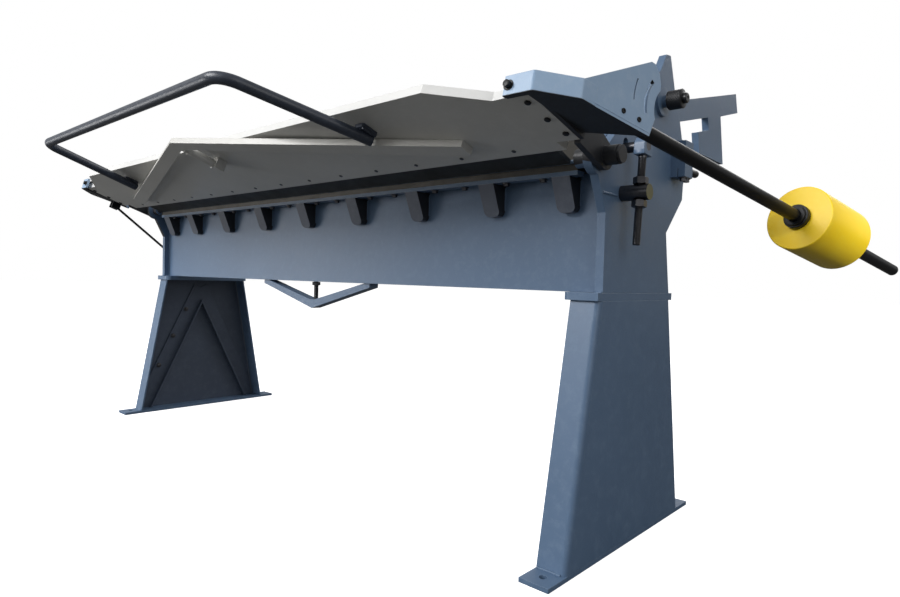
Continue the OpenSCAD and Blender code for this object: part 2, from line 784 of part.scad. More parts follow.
module arm_base() {
  base_w = 44;
  web_x = xo + arm_web_gap;
  translate([0, 0, -bar_t]) linear_extrude(arm_base_t) polygon([
    arm_edge_a - [base_w, 0], arm_edge_a + [arm_step_t, 0], arm_edge_b + [arm_step_t, 0], arm_edge_b - [base_w, 0]]);
  translate([0, 0, -leaf_low]) linear_extrude(leaf_t + arm_base_t) polygon([
    arm_edge_a + [run_gap, 0], arm_edge_b + [run_gap, 0], arm_edge_b + [arm_step_t, 0], arm_edge_a + [arm_step_t, 0]]);
  plate_x(web_x, arm_web_t, [
    [arm_edge_b[1] * arm_web_share, -bar_t], [arm_edge_b[1] * 0.97, -bar_t], [arm_edge_b[1] * 0.9, -leaf_low],
    [0, -housing_r * 0.8], [0, housing_r * 0.8], [arm_edge_b[1] * 0.6, housing_r * 1.1], [arm_edge_b[1] * arm_web_share, arm_base_t]]);
  rod_x(web_x, arm_web_t, housing_r * 0.8);
  rod_x(xo + run_gap, hub_out_l, boss_r);
}

module arm(stop) {
  difference() {
    union() {
      on_arm() arm_shell();
      on_leaf() arm_base();
    }
    on_leaf() bore_x(xo, hub_out_l, pivot_r + fit_gap);
    if (stop > 0) on_leaf() translate([stop_x, -stop_u, -2 * leaf_low])
      box([-stop_pin_r - run_gap, 0, 0], [stop_pin_r + run_gap, stop_u, 3 * leaf_low]);
    on_leaf() for (p = arm_bolt_shares) translate([p[0] * leaf_half, -p[1] * leaf_reach, -bar_t - over])
      cylinder(h = arm_base_t + 2 * over, r = m12_r + run_gap);
    on_leaf() translate([0, 0, -leaf_low - over]) linear_extrude(leaf_t + over) polygon([
      [0, -2 * leaf_reach], arm_edge_a + [0, -leaf_reach], arm_edge_a, arm_edge_b, [0, arm_edge_b[1]]]);
  }
}

module arm_right() { color(paint_light) arm(0); }
module arm_left() { color(paint_light) at_end(-1) arm(1); }

tip_side = arm_bend - arm_tip;

module arm_bolts() {
  color(steel) {
    both() on_leaf() for (p = arm_bolt_shares) translate([p[0] * leaf_half, -p[1] * leaf_reach, -leaf_low]) {
      mirror([0, 0, 1]) cylinder(h = cap_head_h, r = m12_head_r * 0.85);
      cylinder(h = leaf_t + arm_base_t + nut_h, r = m12_r);
      translate([0, 0, leaf_t + arm_base_t]) hex(m12_head_r, nut_h / 2);
    }
    both() on_arm() translate([arm_tip[0] + tip_side[0] * 0.16, arm_tip[1] + tip_side[1] * 0.16, arm_band_h / 2])
      rotate([90, 0, atan2(tip_side[1], tip_side[0])]) head(m8_head_r, m12_head_h);
    on_arm() for (y = [0.58, 0.82]) translate([0, arm_floor_l * y, arm_rod_h]) rotate([0, 90, 0]) {
      cylinder(h = washer_t, r = cap_head_r);
      translate([0, 0, -arm_t]) cylinder(h = arm_t, r = m8_r);
    }
  }
}

// Counterweight on its rod
module on_rod() { on_arm() translate([-arm_rod_in, rod_start, arm_rod_h]) rotate([-90, 0, 0]) children(); }

module counterweight_rod() { color(black) on_rod() cylinder(h = rod_l, r = rod_d / 2); }

module counterweight() {
  r = weight_d / 2;
  color(yellow) on_rod() translate([0, 0, weight_at]) rotate_extrude() difference() {
    union() {
      square([r - weight_round, weight_l]);
      translate([0, weight_round]) square([r, weight_l - 2 * weight_round]);
      for (z = [weight_round, weight_l - weight_round]) translate([r - weight_round, z]) circle(weight_round);
    }
    translate([0, -over]) square([rod_d / 2 + fit_gap, weight_l + 2 * over]);
  }
}

module weight_collar() {
  color(black) on_rod() translate([0, 0, weight_at - collar_l]) union() {
    difference() {
      cylinder(h = collar_l, r = collar_r);
      translate([0, 0, -over]) cylinder(h = collar_l + 2 * over, r = rod_d / 2 + fit_gap);
    }
    translate([collar_r * 0.9, 0, collar_l / 2]) rotate([0, 90, 0]) cylinder(h = collar_r * 0.4, r = set_screw_r);
  }
}

// Clamping beam: p runs up the sloping front from a finger's nose, q goes behind it
nose = [pivot_y + nose_back, table_z + nose_up];
function slope_pt(p, q) = nose + p * [cos(slope_deg), sin(slope_deg)] + q * [sin(slope_deg), -cos(slope_deg)];

function beam_section(t) =
  let (a = slope_pt(beam_start, finger_t + t), b = slope_pt(beam_start + beam_slope, finger_t + t))
  [
    a + [t * 0.42, t], b + [t * 0.42, -t], b + [beam_top - t, -t],
    b + [beam_top - t, t - beam_back_h], a + [beam_foot_l - t, t]
  ];

module clamp_beam() {
  l = span - 2 * (side_gap + lever_t);
  color(paint) difference() {
    plate_x(-l / 2, l, beam_section(0));
    plate_x(-l, 2 * l, beam_section(beam_t));
  }
}

function finger_from(i) = i == 0 ? 0 : finger_from(i - 1) + finger_shares[i - 1];

module finger(i) {
  x = work_len * (finger_from(i) - 0.5);
  w = work_len * finger_shares[i] - finger_gap;
  color(white_paint) plate_x(x + finger_gap / 2, w, [
    nose, slope_pt(finger_l, 0), slope_pt(finger_l, finger_t), slope_pt(beam_start * 0.9, finger_t),
    nose + [finger_land + finger_t, finger_land * 0.9], nose + [finger_land, 0]]);
}

module finger_bar() {
  l = work_len;
  color(paint) plate_x(-l / 2, l, [
    slope_pt(finger_bar_at, 0), slope_pt(finger_bar_at, -finger_bar_t),
    slope_pt(finger_bar_at + finger_bar_w, -finger_bar_t), slope_pt(finger_bar_at + finger_bar_w, 0)]);
}

module finger_screws() {
  mid = slope_pt(finger_bar_at + finger_bar_w / 2, -finger_bar_t);
  color(steel) for (i = [0 : len(finger_shares) - 1])
    translate([work_len * (finger_from(i) + finger_shares[i] / 2 - 0.5), mid[0], mid[1]])
      rotate([slope_deg, 0, 0]) cylinder(h = m8_head_h, r = m8_head_r);
}

// Clamping lever: end plate of the beam and a long arm to the rear that ends in a hook
function lever_pt(y_share, z_share) = [pivot_y + y_share * lever_reach, table_z + z_share * lever_reach];
lever_outline = [
  lever_pt(0.085, 0.04), lever_pt(0.235, 0.195), lever_pt(0.29, 0.224), lever_pt(0.36, 0.226),
  lever_pt(0.575, 0.265), lever_pt(0.977, 0.375), lever_pt(1, 0.315), lever_pt(0.837, 0.269),
  lever_pt(0.875, 0.12), lever_pt(0.666, 0.121), lever_pt(0.651, 0.183), lever_pt(0.738, 0.206),
  lever_pt(0.727, 0.243), lever_pt(0.485, 0.179), lever_pt(0.33, 0.12), lever_pt(0.22, 0.025), lever_pt(0.10, 0.012)
];

module lever() {
  x = xi - side_gap - lever_t;
  color(paint) difference() {
    plate_x(x, lever_t, lever_outline);
    at_fulcrum() bore_x(x, lever_t, fulcrum_r + fit_gap);
    at_lock() bore_x(x, lever_t, lock_r + run_gap);
  }
}

module fulcrum_pins() {
  x = xi - side_gap - lever_t + run_gap;
  l = xo + stud_x + eye_w / 2 - x;
  color(steel) both() at_fulcrum() rod_x(x, l, fulcrum_r);
}

// Knurled knob on the pin that locks a lever
module lock_pin() {
  x = xi - side_gap + over;
  start = xo + lock_disc_t + lock_sleeve_l + run_gap;
  color(black) at_lock() union() {
    rod_x(x, start + knob_l - x, lock_r);
    difference() {
      rod_x(start, knob_l, knob_d / 2);
      bore_x(start, lock_sleeve_l, lock_sleeve_r + run_gap);
    }
    rod_x(start + knob_l, knob_l * knob_cap_share, knob_d * knob_cap_r_share);
  }
}

// Stop rod at the left end
module at_stop() { on_leaf() translate([-stop_x, -stop_u, -stop_w]) children(); }
function leaf_to_machine(y, z) = [
  pivot_y + y * cos(leaf_raise) + z * sin(leaf_raise),
  table_z - y * sin(leaf_raise) + z * cos(leaf_raise)
];
stop_from = leaf_to_machine(-stop_u, -stop_w);
stop_to = stop_from + stop_span * [cos(stop_slope), -sin(stop_slope)];

module stop_rod() {
  color(black) translate([-stop_x, stop_from[0], stop_from[1]]) rotate([-stop_slope, 0, 0]) difference() {
    union() {
      rotate([-90, 0, 0]) cylinder(h = stop_l, r = stop_d / 2);
      rod_x(-stop_pin_r, 2 * stop_pin_r, stop_knuckle_r);
    }
    bore_x(-stop_pin_r, 2 * stop_pin_r, stop_d / 2 + fit_gap);
  }
}

// Two cheeks under the left arm's floor plate, with the pin of the stop rod
module stop_block() {
  inner = stop_pin_r + run_gap;
  color(black) difference() {
    at_stop() union() {
      for (s = [-1, 1]) translate([s * (inner + stop_cheek_t / 2), 0, 0])
        box([-stop_cheek_t / 2, -stop_cheek_w / 2, -stop_cheek_h], [stop_cheek_t / 2, stop_cheek_w / 2, stop_w]);
      rod_x(-inner - stop_cheek_t, 2 * (inner + stop_cheek_t), stop_d / 2);
    }
    at_end(-1) on_arm() translate([-arm_floor_l, -arm_floor_l, 0]) cube(2 * arm_floor_l);
  }
}

module stop_eye() {
  ring = stop_d / 2 + stop_bore_gap + stop_pin_r * 0.7;
  color(steel) translate([-stop_x, stop_to[0], stop_to[1]]) rotate([-stop_slope, 0, 0]) difference() {
    union() {
      rotate([-90, 0, 0]) translate([0, 0, -stop_pin_r]) cylinder(h = 2 * stop_pin_r, r = ring);
      rod_x(0, stop_x - xi, stop_pin_r);
    }
    rotate([-90, 0, 0]) translate([0, 0, -2 * stop_pin_r]) cylinder(h = 4 * stop_pin_r, r = stop_d / 2 + stop_bore_gap);
  }
}

foot_plate();  // foot_plate_right
at_end(-1) foot_plate();  // foot_plate_left
leg();  // leg_right
at_end(-1) leg();  // leg_left
leg_brace();  // leg_brace_right
at_end(-1) leg_brace();  // leg_brace_left
color(steel) both() brace_bolt_set();  // brace_bolts
cap_plate();  // cap_plate_right
at_end(-1) cap_plate();  // cap_plate_left
side_plate(0);  // side_plate_right
at_end(-1) side_plate(1);  // side_plate_left
bed_panel();
bed_rear_panel();
bed_table();
nose_bar();
packing_bar();
packing_bolts();
gussets();
bed_truss();
bed_truss_screw();
pivot_pins();
cross_pins();
adjusting_nuts();
gauge_blocks();
gauge_bolts();
gauge_pins();
leaf_plate();
bending_bar();
bar_screws();
leaf_truss();
leaf_truss_screw();
handle();
arm_right();
arm_left();
arm_bolts();
counterweight_rod();
counterweight();
weight_collar();
clamp_beam();
finger(0);  // finger_1
finger(1);  // finger_2
finger(2);  // finger_3
finger(3);  // finger_4
finger(4);  // finger_5
finger(5);  // finger_6
finger(6);  // finger_7
finger(7);  // finger_8
finger(8);  // finger_9
finger(9);  // finger_10
finger_bar();
finger_screws();
lever();  // lever_right
at_end(-1) lever();  // lever_left
eye_bolts();
fulcrum_pins();
lock_pin();  // lock_pin_right
at_end(-1) lock_pin();  // lock_pin_left
stop_block();
stop_rod();
stop_eye();
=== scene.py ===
import json
import math
import bmesh
import bpy
import numpy as np
from mathutils import Matrix, Vector


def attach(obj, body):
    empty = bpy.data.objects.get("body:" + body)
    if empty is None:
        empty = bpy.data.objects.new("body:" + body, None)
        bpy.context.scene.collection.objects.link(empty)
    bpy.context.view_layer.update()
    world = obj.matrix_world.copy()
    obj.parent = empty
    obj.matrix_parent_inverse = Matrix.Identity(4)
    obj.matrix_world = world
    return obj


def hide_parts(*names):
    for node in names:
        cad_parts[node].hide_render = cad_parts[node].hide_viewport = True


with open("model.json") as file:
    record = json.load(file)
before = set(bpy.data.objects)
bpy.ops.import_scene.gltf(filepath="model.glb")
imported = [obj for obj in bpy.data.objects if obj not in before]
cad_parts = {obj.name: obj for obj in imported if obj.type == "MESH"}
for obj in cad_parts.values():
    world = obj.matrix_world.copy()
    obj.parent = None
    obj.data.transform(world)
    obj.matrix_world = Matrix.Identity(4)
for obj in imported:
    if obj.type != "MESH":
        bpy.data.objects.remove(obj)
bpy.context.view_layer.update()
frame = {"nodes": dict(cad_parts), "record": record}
nodes = frame["nodes"]
joints = {joint["name"]: joint for joint in frame["record"]["behaviour"]["joints"]}
print("frame loaded:", len(nodes), "nodes")


# sRGB hex to linear: c / 12.92 up to 0.04045, and ((c + 0.055) / 1.055) to the power 2.4 above it
def hexColour(code):
    parts = [int(code[i:i + 2], 16) / 255 for i in (1, 3, 5)]
    linear = [p / 12.92 if p <= 0.04045 else ((p + 0.055) / 1.055) ** 2.4 for p in parts]
    return (*linear, 1.0)


# Adds one node; kind leaves out the word ShaderNode. Settings are attributes, and inputs is {socket: value},
# where a value may be (node, output)
def addNode(tree, kind, settings=None, inputs=None):
    node = tree.nodes.new("ShaderNode" + kind)
    for key, value in (settings or {}).items():
        setattr(node, key, value)
    for key, value in (inputs or {}).items():
        if isinstance(value, tuple) and isinstance(value[0], bpy.types.Node):
            tree.links.new(value[0].outputs[value[1]], node.inputs[key])
        else:
            node.inputs[key].default_value = value
    return node


# a new object at the origin, in the scene
def addObject(name, data):
    obj = bpy.data.objects.new(name, data)
    bpy.context.scene.collection.objects.link(obj)
    return obj


# the empty node tree of a new material or world
def emptyTree(data):
    data.use_nodes = True
    data.node_tree.nodes.clear()
    return data.node_tree


# a pattern's scale in 1/m, from the real size of its grains in millimetres
def perMetre(millimetres):
    return 1000.0 / millimetres


colourMix = {"data_type": "RGBA"}
clamped = {"operation": "MULTIPLY", "use_clamp": True}
edgeLook = {"samples": 4, "flat": 0.985, "sharp": 0.80}


# 0 on flats to 1 on sharp edges, from the cosine between the true normal and one rounded over the reach
def edgeMask(tree, reach):
    bevel = addNode(tree, "Bevel", {"samples": edgeLook["samples"]}, {"Radius": reach})
    geo = addNode(tree, "NewGeometry")
    cosine = addNode(tree, "VectorMath", {"operation": "DOT_PRODUCT"}, {0: (bevel, 0), 1: (geo, "Normal")})
    return addNode(tree, "MapRange", None, {0: (cosine, "Value"), 1: edgeLook["flat"], 2: edgeLook["sharp"]})


# the relief lifts a normal that is rounded at folds, and the other sockets of the shader are given
def closeSurface(tree, look, relief, inputs):
    fold = addNode(tree, "Bevel", {"samples": edgeLook["samples"]}, {"Radius": look["foldRadius"]})
    bump = addNode(tree, "Bump", None, {
        "Strength": look["strength"], "Distance": look["relief"], "Height": relief, "Normal": (fold, 0)})
    shader = addNode(tree, "BsdfPrincipled", None, {"Normal": (bump, 0), **inputs})
    addNode(tree, "OutputMaterial", None, {"Surface": (shader, "BSDF")})


# Powder coat is polyester powder, sprayed on clean sheet and baked. It is satin, with orange peel of 2 mm,
# clouds of 310 mm where it is thicker, stains of dust and oil of 26 mm, and paler rubbed edges
paintLook = {
    "peelMm": 1.92308, "relief": 0.0006, "strength": 0.35, "cloudMm": 312.5, "cloudRange": (0.35, 0.7),
    "dustMm": 26.3158, "dustRange": (0.48, 0.8), "dust": 0.35, "satinRange": (0.3, 0.75),
    "satinSpread": (0.06, 0.12), "edgeReach": 0.0022, "foldRadius": 0.0016, "ior": 1.5, "coat": 0.08,
    "coatRough": 0.25,
}


# body and shade are mixed by the clouds, then worn is mixed in by the stains, and by edge * dust * wear * 2
def powderCoat(name, body, shade, worn, rough=0.42, wear=0.55, clouds=0.5):
    look = paintLook
    mat = bpy.data.materials.new(name)
    tree = emptyTree(mat)
    coord = addNode(tree, "TexCoord")
    cloud = addNode(tree, "TexNoise", None, {
        "Vector": (coord, "Object"), "Scale": perMetre(look["cloudMm"]), "Detail": 4.0, "Roughness": 0.6})
    dust = addNode(tree, "TexNoise", None, {
        "Vector": (coord, "Object"), "Scale": perMetre(look["dustMm"]), "Detail": 6.0, "Roughness": 0.72})
    peel = addNode(tree, "TexNoise", None, {
        "Vector": (coord, "Object"), "Scale": perMetre(look["peelMm"]), "Detail": 2.0})
    low, high = look["cloudRange"]
    cloudy = addNode(tree, "MapRange", None, {0: (cloud, "Fac"), 1: low, 2: high, 4: clouds})
    base = addNode(tree, "Mix", colourMix, {0: (cloudy, 0), 6: hexColour(body), 7: hexColour(shade)})
    low, high = look["dustRange"]
    stains = addNode(tree, "MapRange", None, {0: (dust, "Fac"), 1: low, 2: high, 4: look["dust"]})
    dusty = addNode(tree, "Mix", colourMix, {0: (stains, 0), 6: (base, 2), 7: hexColour(worn)})
    edge = edgeMask(tree, look["edgeReach"])
    broken = addNode(tree, "Math", {"operation": "MULTIPLY"}, {0: (edge, 0), 1: (dust, "Fac")})
    rubbed = addNode(tree, "Math", clamped, {0: (broken, 0), 1: wear * 2})
    colour = addNode(tree, "Mix", colourMix, {0: (rubbed, 0), 6: (dusty, 2), 7: hexColour(worn)})
    low, high = look["satinRange"]
    less, more = look["satinSpread"]
    satin = addNode(tree, "MapRange", None, {
        0: (dust, "Fac"), 1: low, 2: high, 3: rough - less, 4: rough + more})
    closeSurface(tree, look, (peel, "Fac"), {
        "Base Color": (colour, 2), "Roughness": (satin, 0), "IOR": look["ior"],
        "Coat Weight": look["coat"], "Coat Roughness": look["coatRough"]})
    return mat


# Bare and plated steel is ground, turned or drawn, which leaves streaks along the piece. The real ones are
# 0.05 mm and too fine to see, so they are drawn 0.4 mm wide. Oil lies on it in darker blotches of 45 mm
steelLook = {
    "grainMm": 25.0, "blotchMm": 45.4545, "grainShare": 0.5, "blotchShare": 0.6, "edgeReach": 0.0012,
    "foldRadius": 0.0008, "relief": 0.0002, "strength": 0.4, "rubbed": 0.5, "sheenRange": (0.2, 0.9),
    "sheenSpread": (0.08, 0.14),
}
groundStreak = (1.0, 60.0, 60.0)  # 25 mm long, 0.4 mm wide
platedGrain = (8.0, 8.0, 8.0)  # 3 mm each way


# bright and dark are mixed by grain * share + blotch * share, which also sets the roughness; edges are bright
def bareSteel(name, bright, dark, rough, streak=groundStreak, metallic=1.0):
    look = steelLook
    mat = bpy.data.materials.new(name)
    tree = emptyTree(mat)
    coord = addNode(tree, "TexCoord")
    mapping = addNode(tree, "Mapping", None, {"Vector": (coord, "Object"), "Scale": streak})
    grain = addNode(tree, "TexNoise", None, {
        "Vector": (mapping, 0), "Scale": perMetre(look["grainMm"]), "Detail": 5.0, "Roughness": 0.65})
    blotch = addNode(tree, "TexNoise", None, {
        "Vector": (coord, "Object"), "Scale": perMetre(look["blotchMm"]), "Detail": 5.0, "Roughness": 0.6})
    fine = addNode(tree, "Math", clamped, {0: (grain, "Fac"), 1: look["grainShare"]})
    both = addNode(tree, "Math", {"operation": "MULTIPLY_ADD", "use_clamp": True}, {
        0: (blotch, "Fac"), 1: look["blotchShare"], 2: (fine, 0)})
    oiled = addNode(tree, "Mix", colourMix, {0: (both, 0), 6: hexColour(bright), 7: hexColour(dark)})
    edge = edgeMask(tree, look["edgeReach"])
    rubbed = addNode(tree, "Math", clamped, {0: (edge, 0), 1: look["rubbed"]})
    colour = addNode(tree, "Mix", colourMix, {0: (rubbed, 0), 6: (oiled, 2), 7: hexColour(bright)})
    low, high = look["sheenRange"]
    less, more = look["sheenSpread"]
    sheen = addNode(tree, "MapRange", None, {0: (both, 0), 1: low, 2: high, 3: rough - less, 4: rough + more})
    inputs = {"Base Color": (colour, 2), "Roughness": (sheen, 0), "Metallic": metallic}
    closeSurface(tree, look, (grain, "Fac"), inputs)
    return mat


# One finish for each slot of the construction: body, thicker coat and rubbed colour, or bright and oily steel
finishes = {
    # powder coat on the folded frame, clamp beam and levers: satin slate blue
    "frame_paint": powderCoat("powderCoatSlateBlue", "#5a728f", "#516884", "#7c92aa"),
    # the same powder in a paler shade on the end arms, a little glossier
    "arm_paint": powderCoat("powderCoatPaleBlue", "#96b1ce", "#8ca7c4", "#bccddd", rough=0.38),
    # powder coat on the table and bars, rubbed more by the sheets that slide over them
    "bed_steel": powderCoat("powderCoatBed", "#586f8a", "#4d627a", "#8b98a3", wear=0.8),
    # sprayed enamel on the leaf and its truss: warm off-white, semi-gloss
    "leaf_paint": powderCoat("enamelOffWhite", "#c9c8c3", "#bdbcb6", "#dcdbd7", rough=0.36, clouds=0.7),
    # tool steel of the fingers and bending bar, ground along its length and kept oiled: brownish grey
    "ground_steel": bareSteel("groundToolSteel", "#64625d", "#3d3b38", 0.46),
    # zinc plate on bolts and studs, dulled by the shop air
    "zinc_steel": bareSteel("dullZincPlate", "#77777a", "#343437", 0.33, streak=platedGrain),
    # black oxide on drawn bar: nearly black, as the oxide hides most of the metal's mirror
    "black_steel": bareSteel("blackOxideSteel", "#1f2022", "#101113", 0.40, metallic=0.35),
    # black oxide on the knurled knobs, brighter on the points of the knurl
    "knob_black": bareSteel("blackOxideKnurl", "#303135", "#121315", 0.34, metallic=0.35),
    # brushed enamel on the counterweight: warning yellow, semi-gloss
    "yellow_paint": powderCoat("brushedYellowEnamel", "#ffd91f", "#fccd12", "#ffe75a", rough=0.34, wear=0.3),
}
slotOf = {part["node"]: part["material_slot"] for part in frame["record"]["subparts"]}
for name, node in nodes.items():
    node.data.materials.clear()
    node.data.materials.append(finishes[slotOf[name]])

# Second finishes, on some faces of a node or on a new piece
extras = {
    # a darker, matt blue-grey coat on the legs' inward faces and on their braces
    "darkerCoat": powderCoat("darkerMattCoat", "#4a5567", "#3e4857", "#66717f", rough=0.5, wear=0.3),
    # painted shade: a matt near-black coat on faces that lie in shade, under the arms and round their hubs,
    # on the gussets' sides, the side plates' neck edges and the pivot pins
    "under": powderCoat("paintedShadeBlack", "#25272c", "#1d1f23", "#44474d", rough=0.52, wear=0.4),
    # satin grey coat on the fronts of the gussets
    "gusset": powderCoat("powderCoatGrey", "#5f6673", "#525966", "#858a93", rough=0.46),
    # olive chromate on the cut ends of the cross pins
    "olive": powderCoat("oliveChromate", "#66643c", "#57552f", "#8a8866", rough=0.4, wear=0.3),
    # painted highlight: the leaf's front edge in the same enamel, brighter where the lamps light it
    "rubbed": powderCoat("enamelPaintedHighlight", "#e9e9e7", "#dededb", "#f3f3f2", rough=0.34, wear=0.3),
    # satin powder coat in blue-black on the tube handle
    "handle": powderCoat("darkSlateCoat", "#333a47", "#2a303b", "#566170", rough=0.36, wear=0.4),
}
print("materials:", len(finishes) + len(extras))


# Gives another finish to the faces that a test picks, or to all. The test gets world centres and normals
def partFinish(name, mat, test=None):
    mesh = nodes[name].data
    count = len(mesh.polygons)
    normal = np.empty(count * 3)
    centre = np.empty(count * 3)
    index = np.empty(count, int)
    mesh.polygons.foreach_get("normal", normal)
    mesh.polygons.foreach_get("center", centre)
    mesh.polygons.foreach_get("material_index", index)
    place = np.array(nodes[name].matrix_world)
    normal = normal.reshape(-1, 3) @ place[:3, :3].T
    centre = centre.reshape(-1, 3) @ place[:3, :3].T + place[:3, 3]
    mesh.materials.append(mat)
    chosen = slice(None) if test is None else test(centre, normal)
    index[chosen] = len(mesh.materials) - 1
    mesh.polygons.foreach_set("material_index", index)
    mesh.update()


# Places in metres, and turns as cosines, that bound the second finishes, among them the painted shade
leafPivot = joints["leaf_fold"]["pos_m"]
darkSpot = {
    "legFace": 1.1, "inward": -0.4, "downward": -0.55, "hubR": 0.034, "hubOut": 1.141, "webOut": 1.16,
    "sideways": 0.9, "askew": 0.5, "neckTop": 0.94, "leftNeck": (-0.13, 0.78), "rightNeck": (-0.18, 0.89),
    "forward": -0.8,
}


# faces of a leg that look inwards, towards the other leg; they get the darker coat
def legInside(sign):
    return lambda c, n: (n[:, 0] * sign < darkSpot["inward"]) & (np.abs(c[:, 0]) > darkSpot["legFace"])


# faces of an arm that look down, or lie round its hub, or on the upright web beside the leaf; they get the
# painted shade
def armUnderside(centre, normal):
    out = np.abs(centre[:, 0])
    hub = np.hypot(centre[:, 1] - leafPivot[1], centre[:, 2] - leafPivot[2]) < darkSpot["hubR"]
    web = (np.abs(normal[:, 0]) > darkSpot["sideways"]) & (out < darkSpot["webOut"])
    return (normal[:, 2] < darkSpot["downward"]) | hub | web | (out < darkSpot["hubOut"])


# the front edges of a side plate between a lower height and the table, which get the painted shade
def neckEdge(front, low):
    top, askew = darkSpot["neckTop"], darkSpot["askew"]
    return lambda c, n: (np.abs(n[:, 0]) < askew) & (c[:, 1] < front) & (c[:, 2] > low) & (c[:, 2] < top)


for side, sign in (("right", 1), ("left", -1)):
    partFinish("leg_" + side, extras["darkerCoat"], legInside(sign))
    partFinish("leg_brace_" + side, extras["darkerCoat"])
    # painted shade on the arms' shaded faces and on the side plates' neck edges
    partFinish("arm_" + side, extras["under"], armUnderside)
    partFinish("side_plate_" + side, extras["under"], neckEdge(*darkSpot[side + "Neck"]))
partFinish("gussets", extras["gusset"])
# painted shade on the gussets' sides
partFinish("gussets", extras["under"], lambda c, n: np.abs(n[:, 0]) > darkSpot["askew"])
# painted shade on the pivot pins, under the leaf
partFinish("pivot_pins", extras["under"])
partFinish("nose_bar", finishes["ground_steel"])
partFinish("cross_pins", extras["olive"], lambda c, n: np.abs(n[:, 0]) > darkSpot["sideways"])
# painted highlight on the leaf's front edge faces
partFinish("leaf_plate", extras["rubbed"], lambda c, n: n[:, 1] < darkSpot["forward"])
print("second finishes:", len(extras))


# matrix of a move by (x, y, z)
def shift(x, y, z):
    move = np.eye(4)
    move[:3, 3] = (x, y, z)
    return move


# matrix of a turn about X, Y or Z
def turn(axis, degrees):
    return np.array(Matrix.Rotation(math.radians(degrees), 4, axis))


# points taken to a place: each is turned, then moved
def placed(points, place):
    flat = np.asarray(points, float).reshape(-1, 3)
    return flat @ place[:3, :3].T + place[:3, 3]


# quads of a grid of rows and columns: corner (i, j) is point i * columns + j, and the columns join round
def gridQuads(rows, cols, closeRows=False):
    i = np.arange(rows if closeRows else rows - 1)[:, None]
    j = np.arange(cols)[None, :]
    nextI, nextJ = (i + 1) % rows, (j + 1) % cols
    corners = [i * cols + j, i * cols + nextJ, nextI * cols + nextJ, nextI * cols + j]
    return np.stack(corners, -1).reshape(-1, 4)


# a closed surface faces outwards where its sum of a . (b x c) + a . (c x d) is positive; if not, it is turned
def outward(points, quads):
    a, b, c, d = (points[quads[:, k]] for k in range(4))
    volume = np.einsum("ij,ij->", a, np.cross(b, c)) + np.einsum("ij,ij->", a, np.cross(c, d))
    return quads if volume > 0 else quads[:, ::-1]


# a grid of rows and columns of points as one closed surface at its place
def solid(grid, place, closeRows=False):
    rows, cols = grid.shape[:2]
    points = placed(grid, place)
    return points, outward(points - points.mean(0), gridQuads(rows, cols, closeRows))


# turned piece: (radius, height) pairs swept round z, as (r cos a, r sin a, h); ripple adds to r at (a, h)
def lathe(profile, place, segments, closed=False, ripple=None):
    profile = np.asarray(profile, float)
    angle = np.linspace(0, 2 * np.pi, segments, endpoint=False)[None, :]
    radius = profile[:, :1] + 0 * angle
    height = profile[:, 1:] + 0 * angle
    if ripple is not None:
        radius = radius + ripple(angle, height, radius)
    grid = np.stack([radius * np.cos(angle), radius * np.sin(angle), height], -1)
    return solid(grid, place, closed)


# straight length of a profile in fine steps, for surfaces with knurls or threads
def fineRows(radius, low, high, step):
    z = np.linspace(low, high, max(2, int(round((high - low) / step)) + 1))
    return np.stack([np.full_like(z, radius), z], -1)


threadLook = {"steep": 1.25, "crest": 0.1}
slack = 1e-5  # how near a row has to be to its full radius
tiny = 1e-6  # keeps a division away from zero


# 1 at a thread's root, 0 on its crest: steep |2 frac(z / pitch - angle / 2 pi) - 1| - crest, kept in 0 to 1
def threadWave(angle, height, pitch):
    phase = (height / pitch - angle / (2 * np.pi)) % 1.0
    return np.clip(np.abs(2 * phase - 1) * threadLook["steep"] - threadLook["crest"], 0, 1)


# true on the rows of a turned profile at its full radius, where a knurl or a thread is cut
def atFull(radius, full):
    return radius > full - slack


# Nuts and hex heads: the chamfer starts a little inside the flats and falls by tan 30 degrees. Of washers and
# socket heads, the chamfers and the recess are shares of their own sizes
hexLook = {"sides": 6, "samples": 12, "circleShare": 0.97, "chamfer": 0.577}
washerLook = {"thick": 0.0025, "rim": 0.003, "chamfer": 0.2, "segments": 48}
socketLook = {"recess": 0.5, "taper": 0.92, "deep": 0.6, "chamfer": 0.25, "segments": 36}


# hexagon of corner radius r: edge = flat / cos(angle within a side), lower by the chamfer outside the circle
def hexPart(r, height, place, bore=0.0, both=False):
    sides = hexLook["sides"]
    angle = np.linspace(0, 2 * np.pi, sides * hexLook["samples"], endpoint=False)
    flat = r * math.cos(math.pi / sides)
    edge = flat / np.cos((angle + math.pi / sides) % (2 * math.pi / sides) - math.pi / sides)
    circle = flat * hexLook["circleShare"] + 0 * edge
    drop = np.maximum(edge - circle, 0) * hexLook["chamfer"]
    level = 0 * edge
    rings = [(level + bore, level)] + ([(circle, level)] if both else [])
    rings += [(edge, drop * both), (edge, height - drop), (circle, height + level)]
    rings += [(level + bore, height + level)]
    grid = np.stack([np.stack([q * np.cos(angle), q * np.sin(angle), z], -1) for q, z in rings])
    return solid(grid, place, bore > 0)


# disc with both rims chamfered
def washer(r, thick, place):
    c = thick * washerLook["chamfer"]
    ring = [(0, 0), (r - c, 0), (r, c), (r, thick - c), (r - c, thick), (0, thick)]
    return lathe(ring, place, washerLook["segments"])


# hex bolt with a washer under its head, standing on the plane z = 0 of its place
def washedBolt(r, height, place):
    thick = washerLook["thick"]
    return [hexPart(r, height, place @ shift(0, 0, thick)), washer(r + washerLook["rim"], thick, place)]


# socket head: a low turned head with a chamfered rim and a round recess
def socketPart(r, height, place):
    inner, bottom = r * socketLook["recess"], height * (1 - socketLook["deep"])
    c = height * socketLook["chamfer"]
    ring = [(0, 0), (r, 0), (r, height - c), (r - c, height), (inner, height)]
    return lathe(ring + [(inner * socketLook["taper"], bottom), (0, bottom)], place, socketLook["segments"])


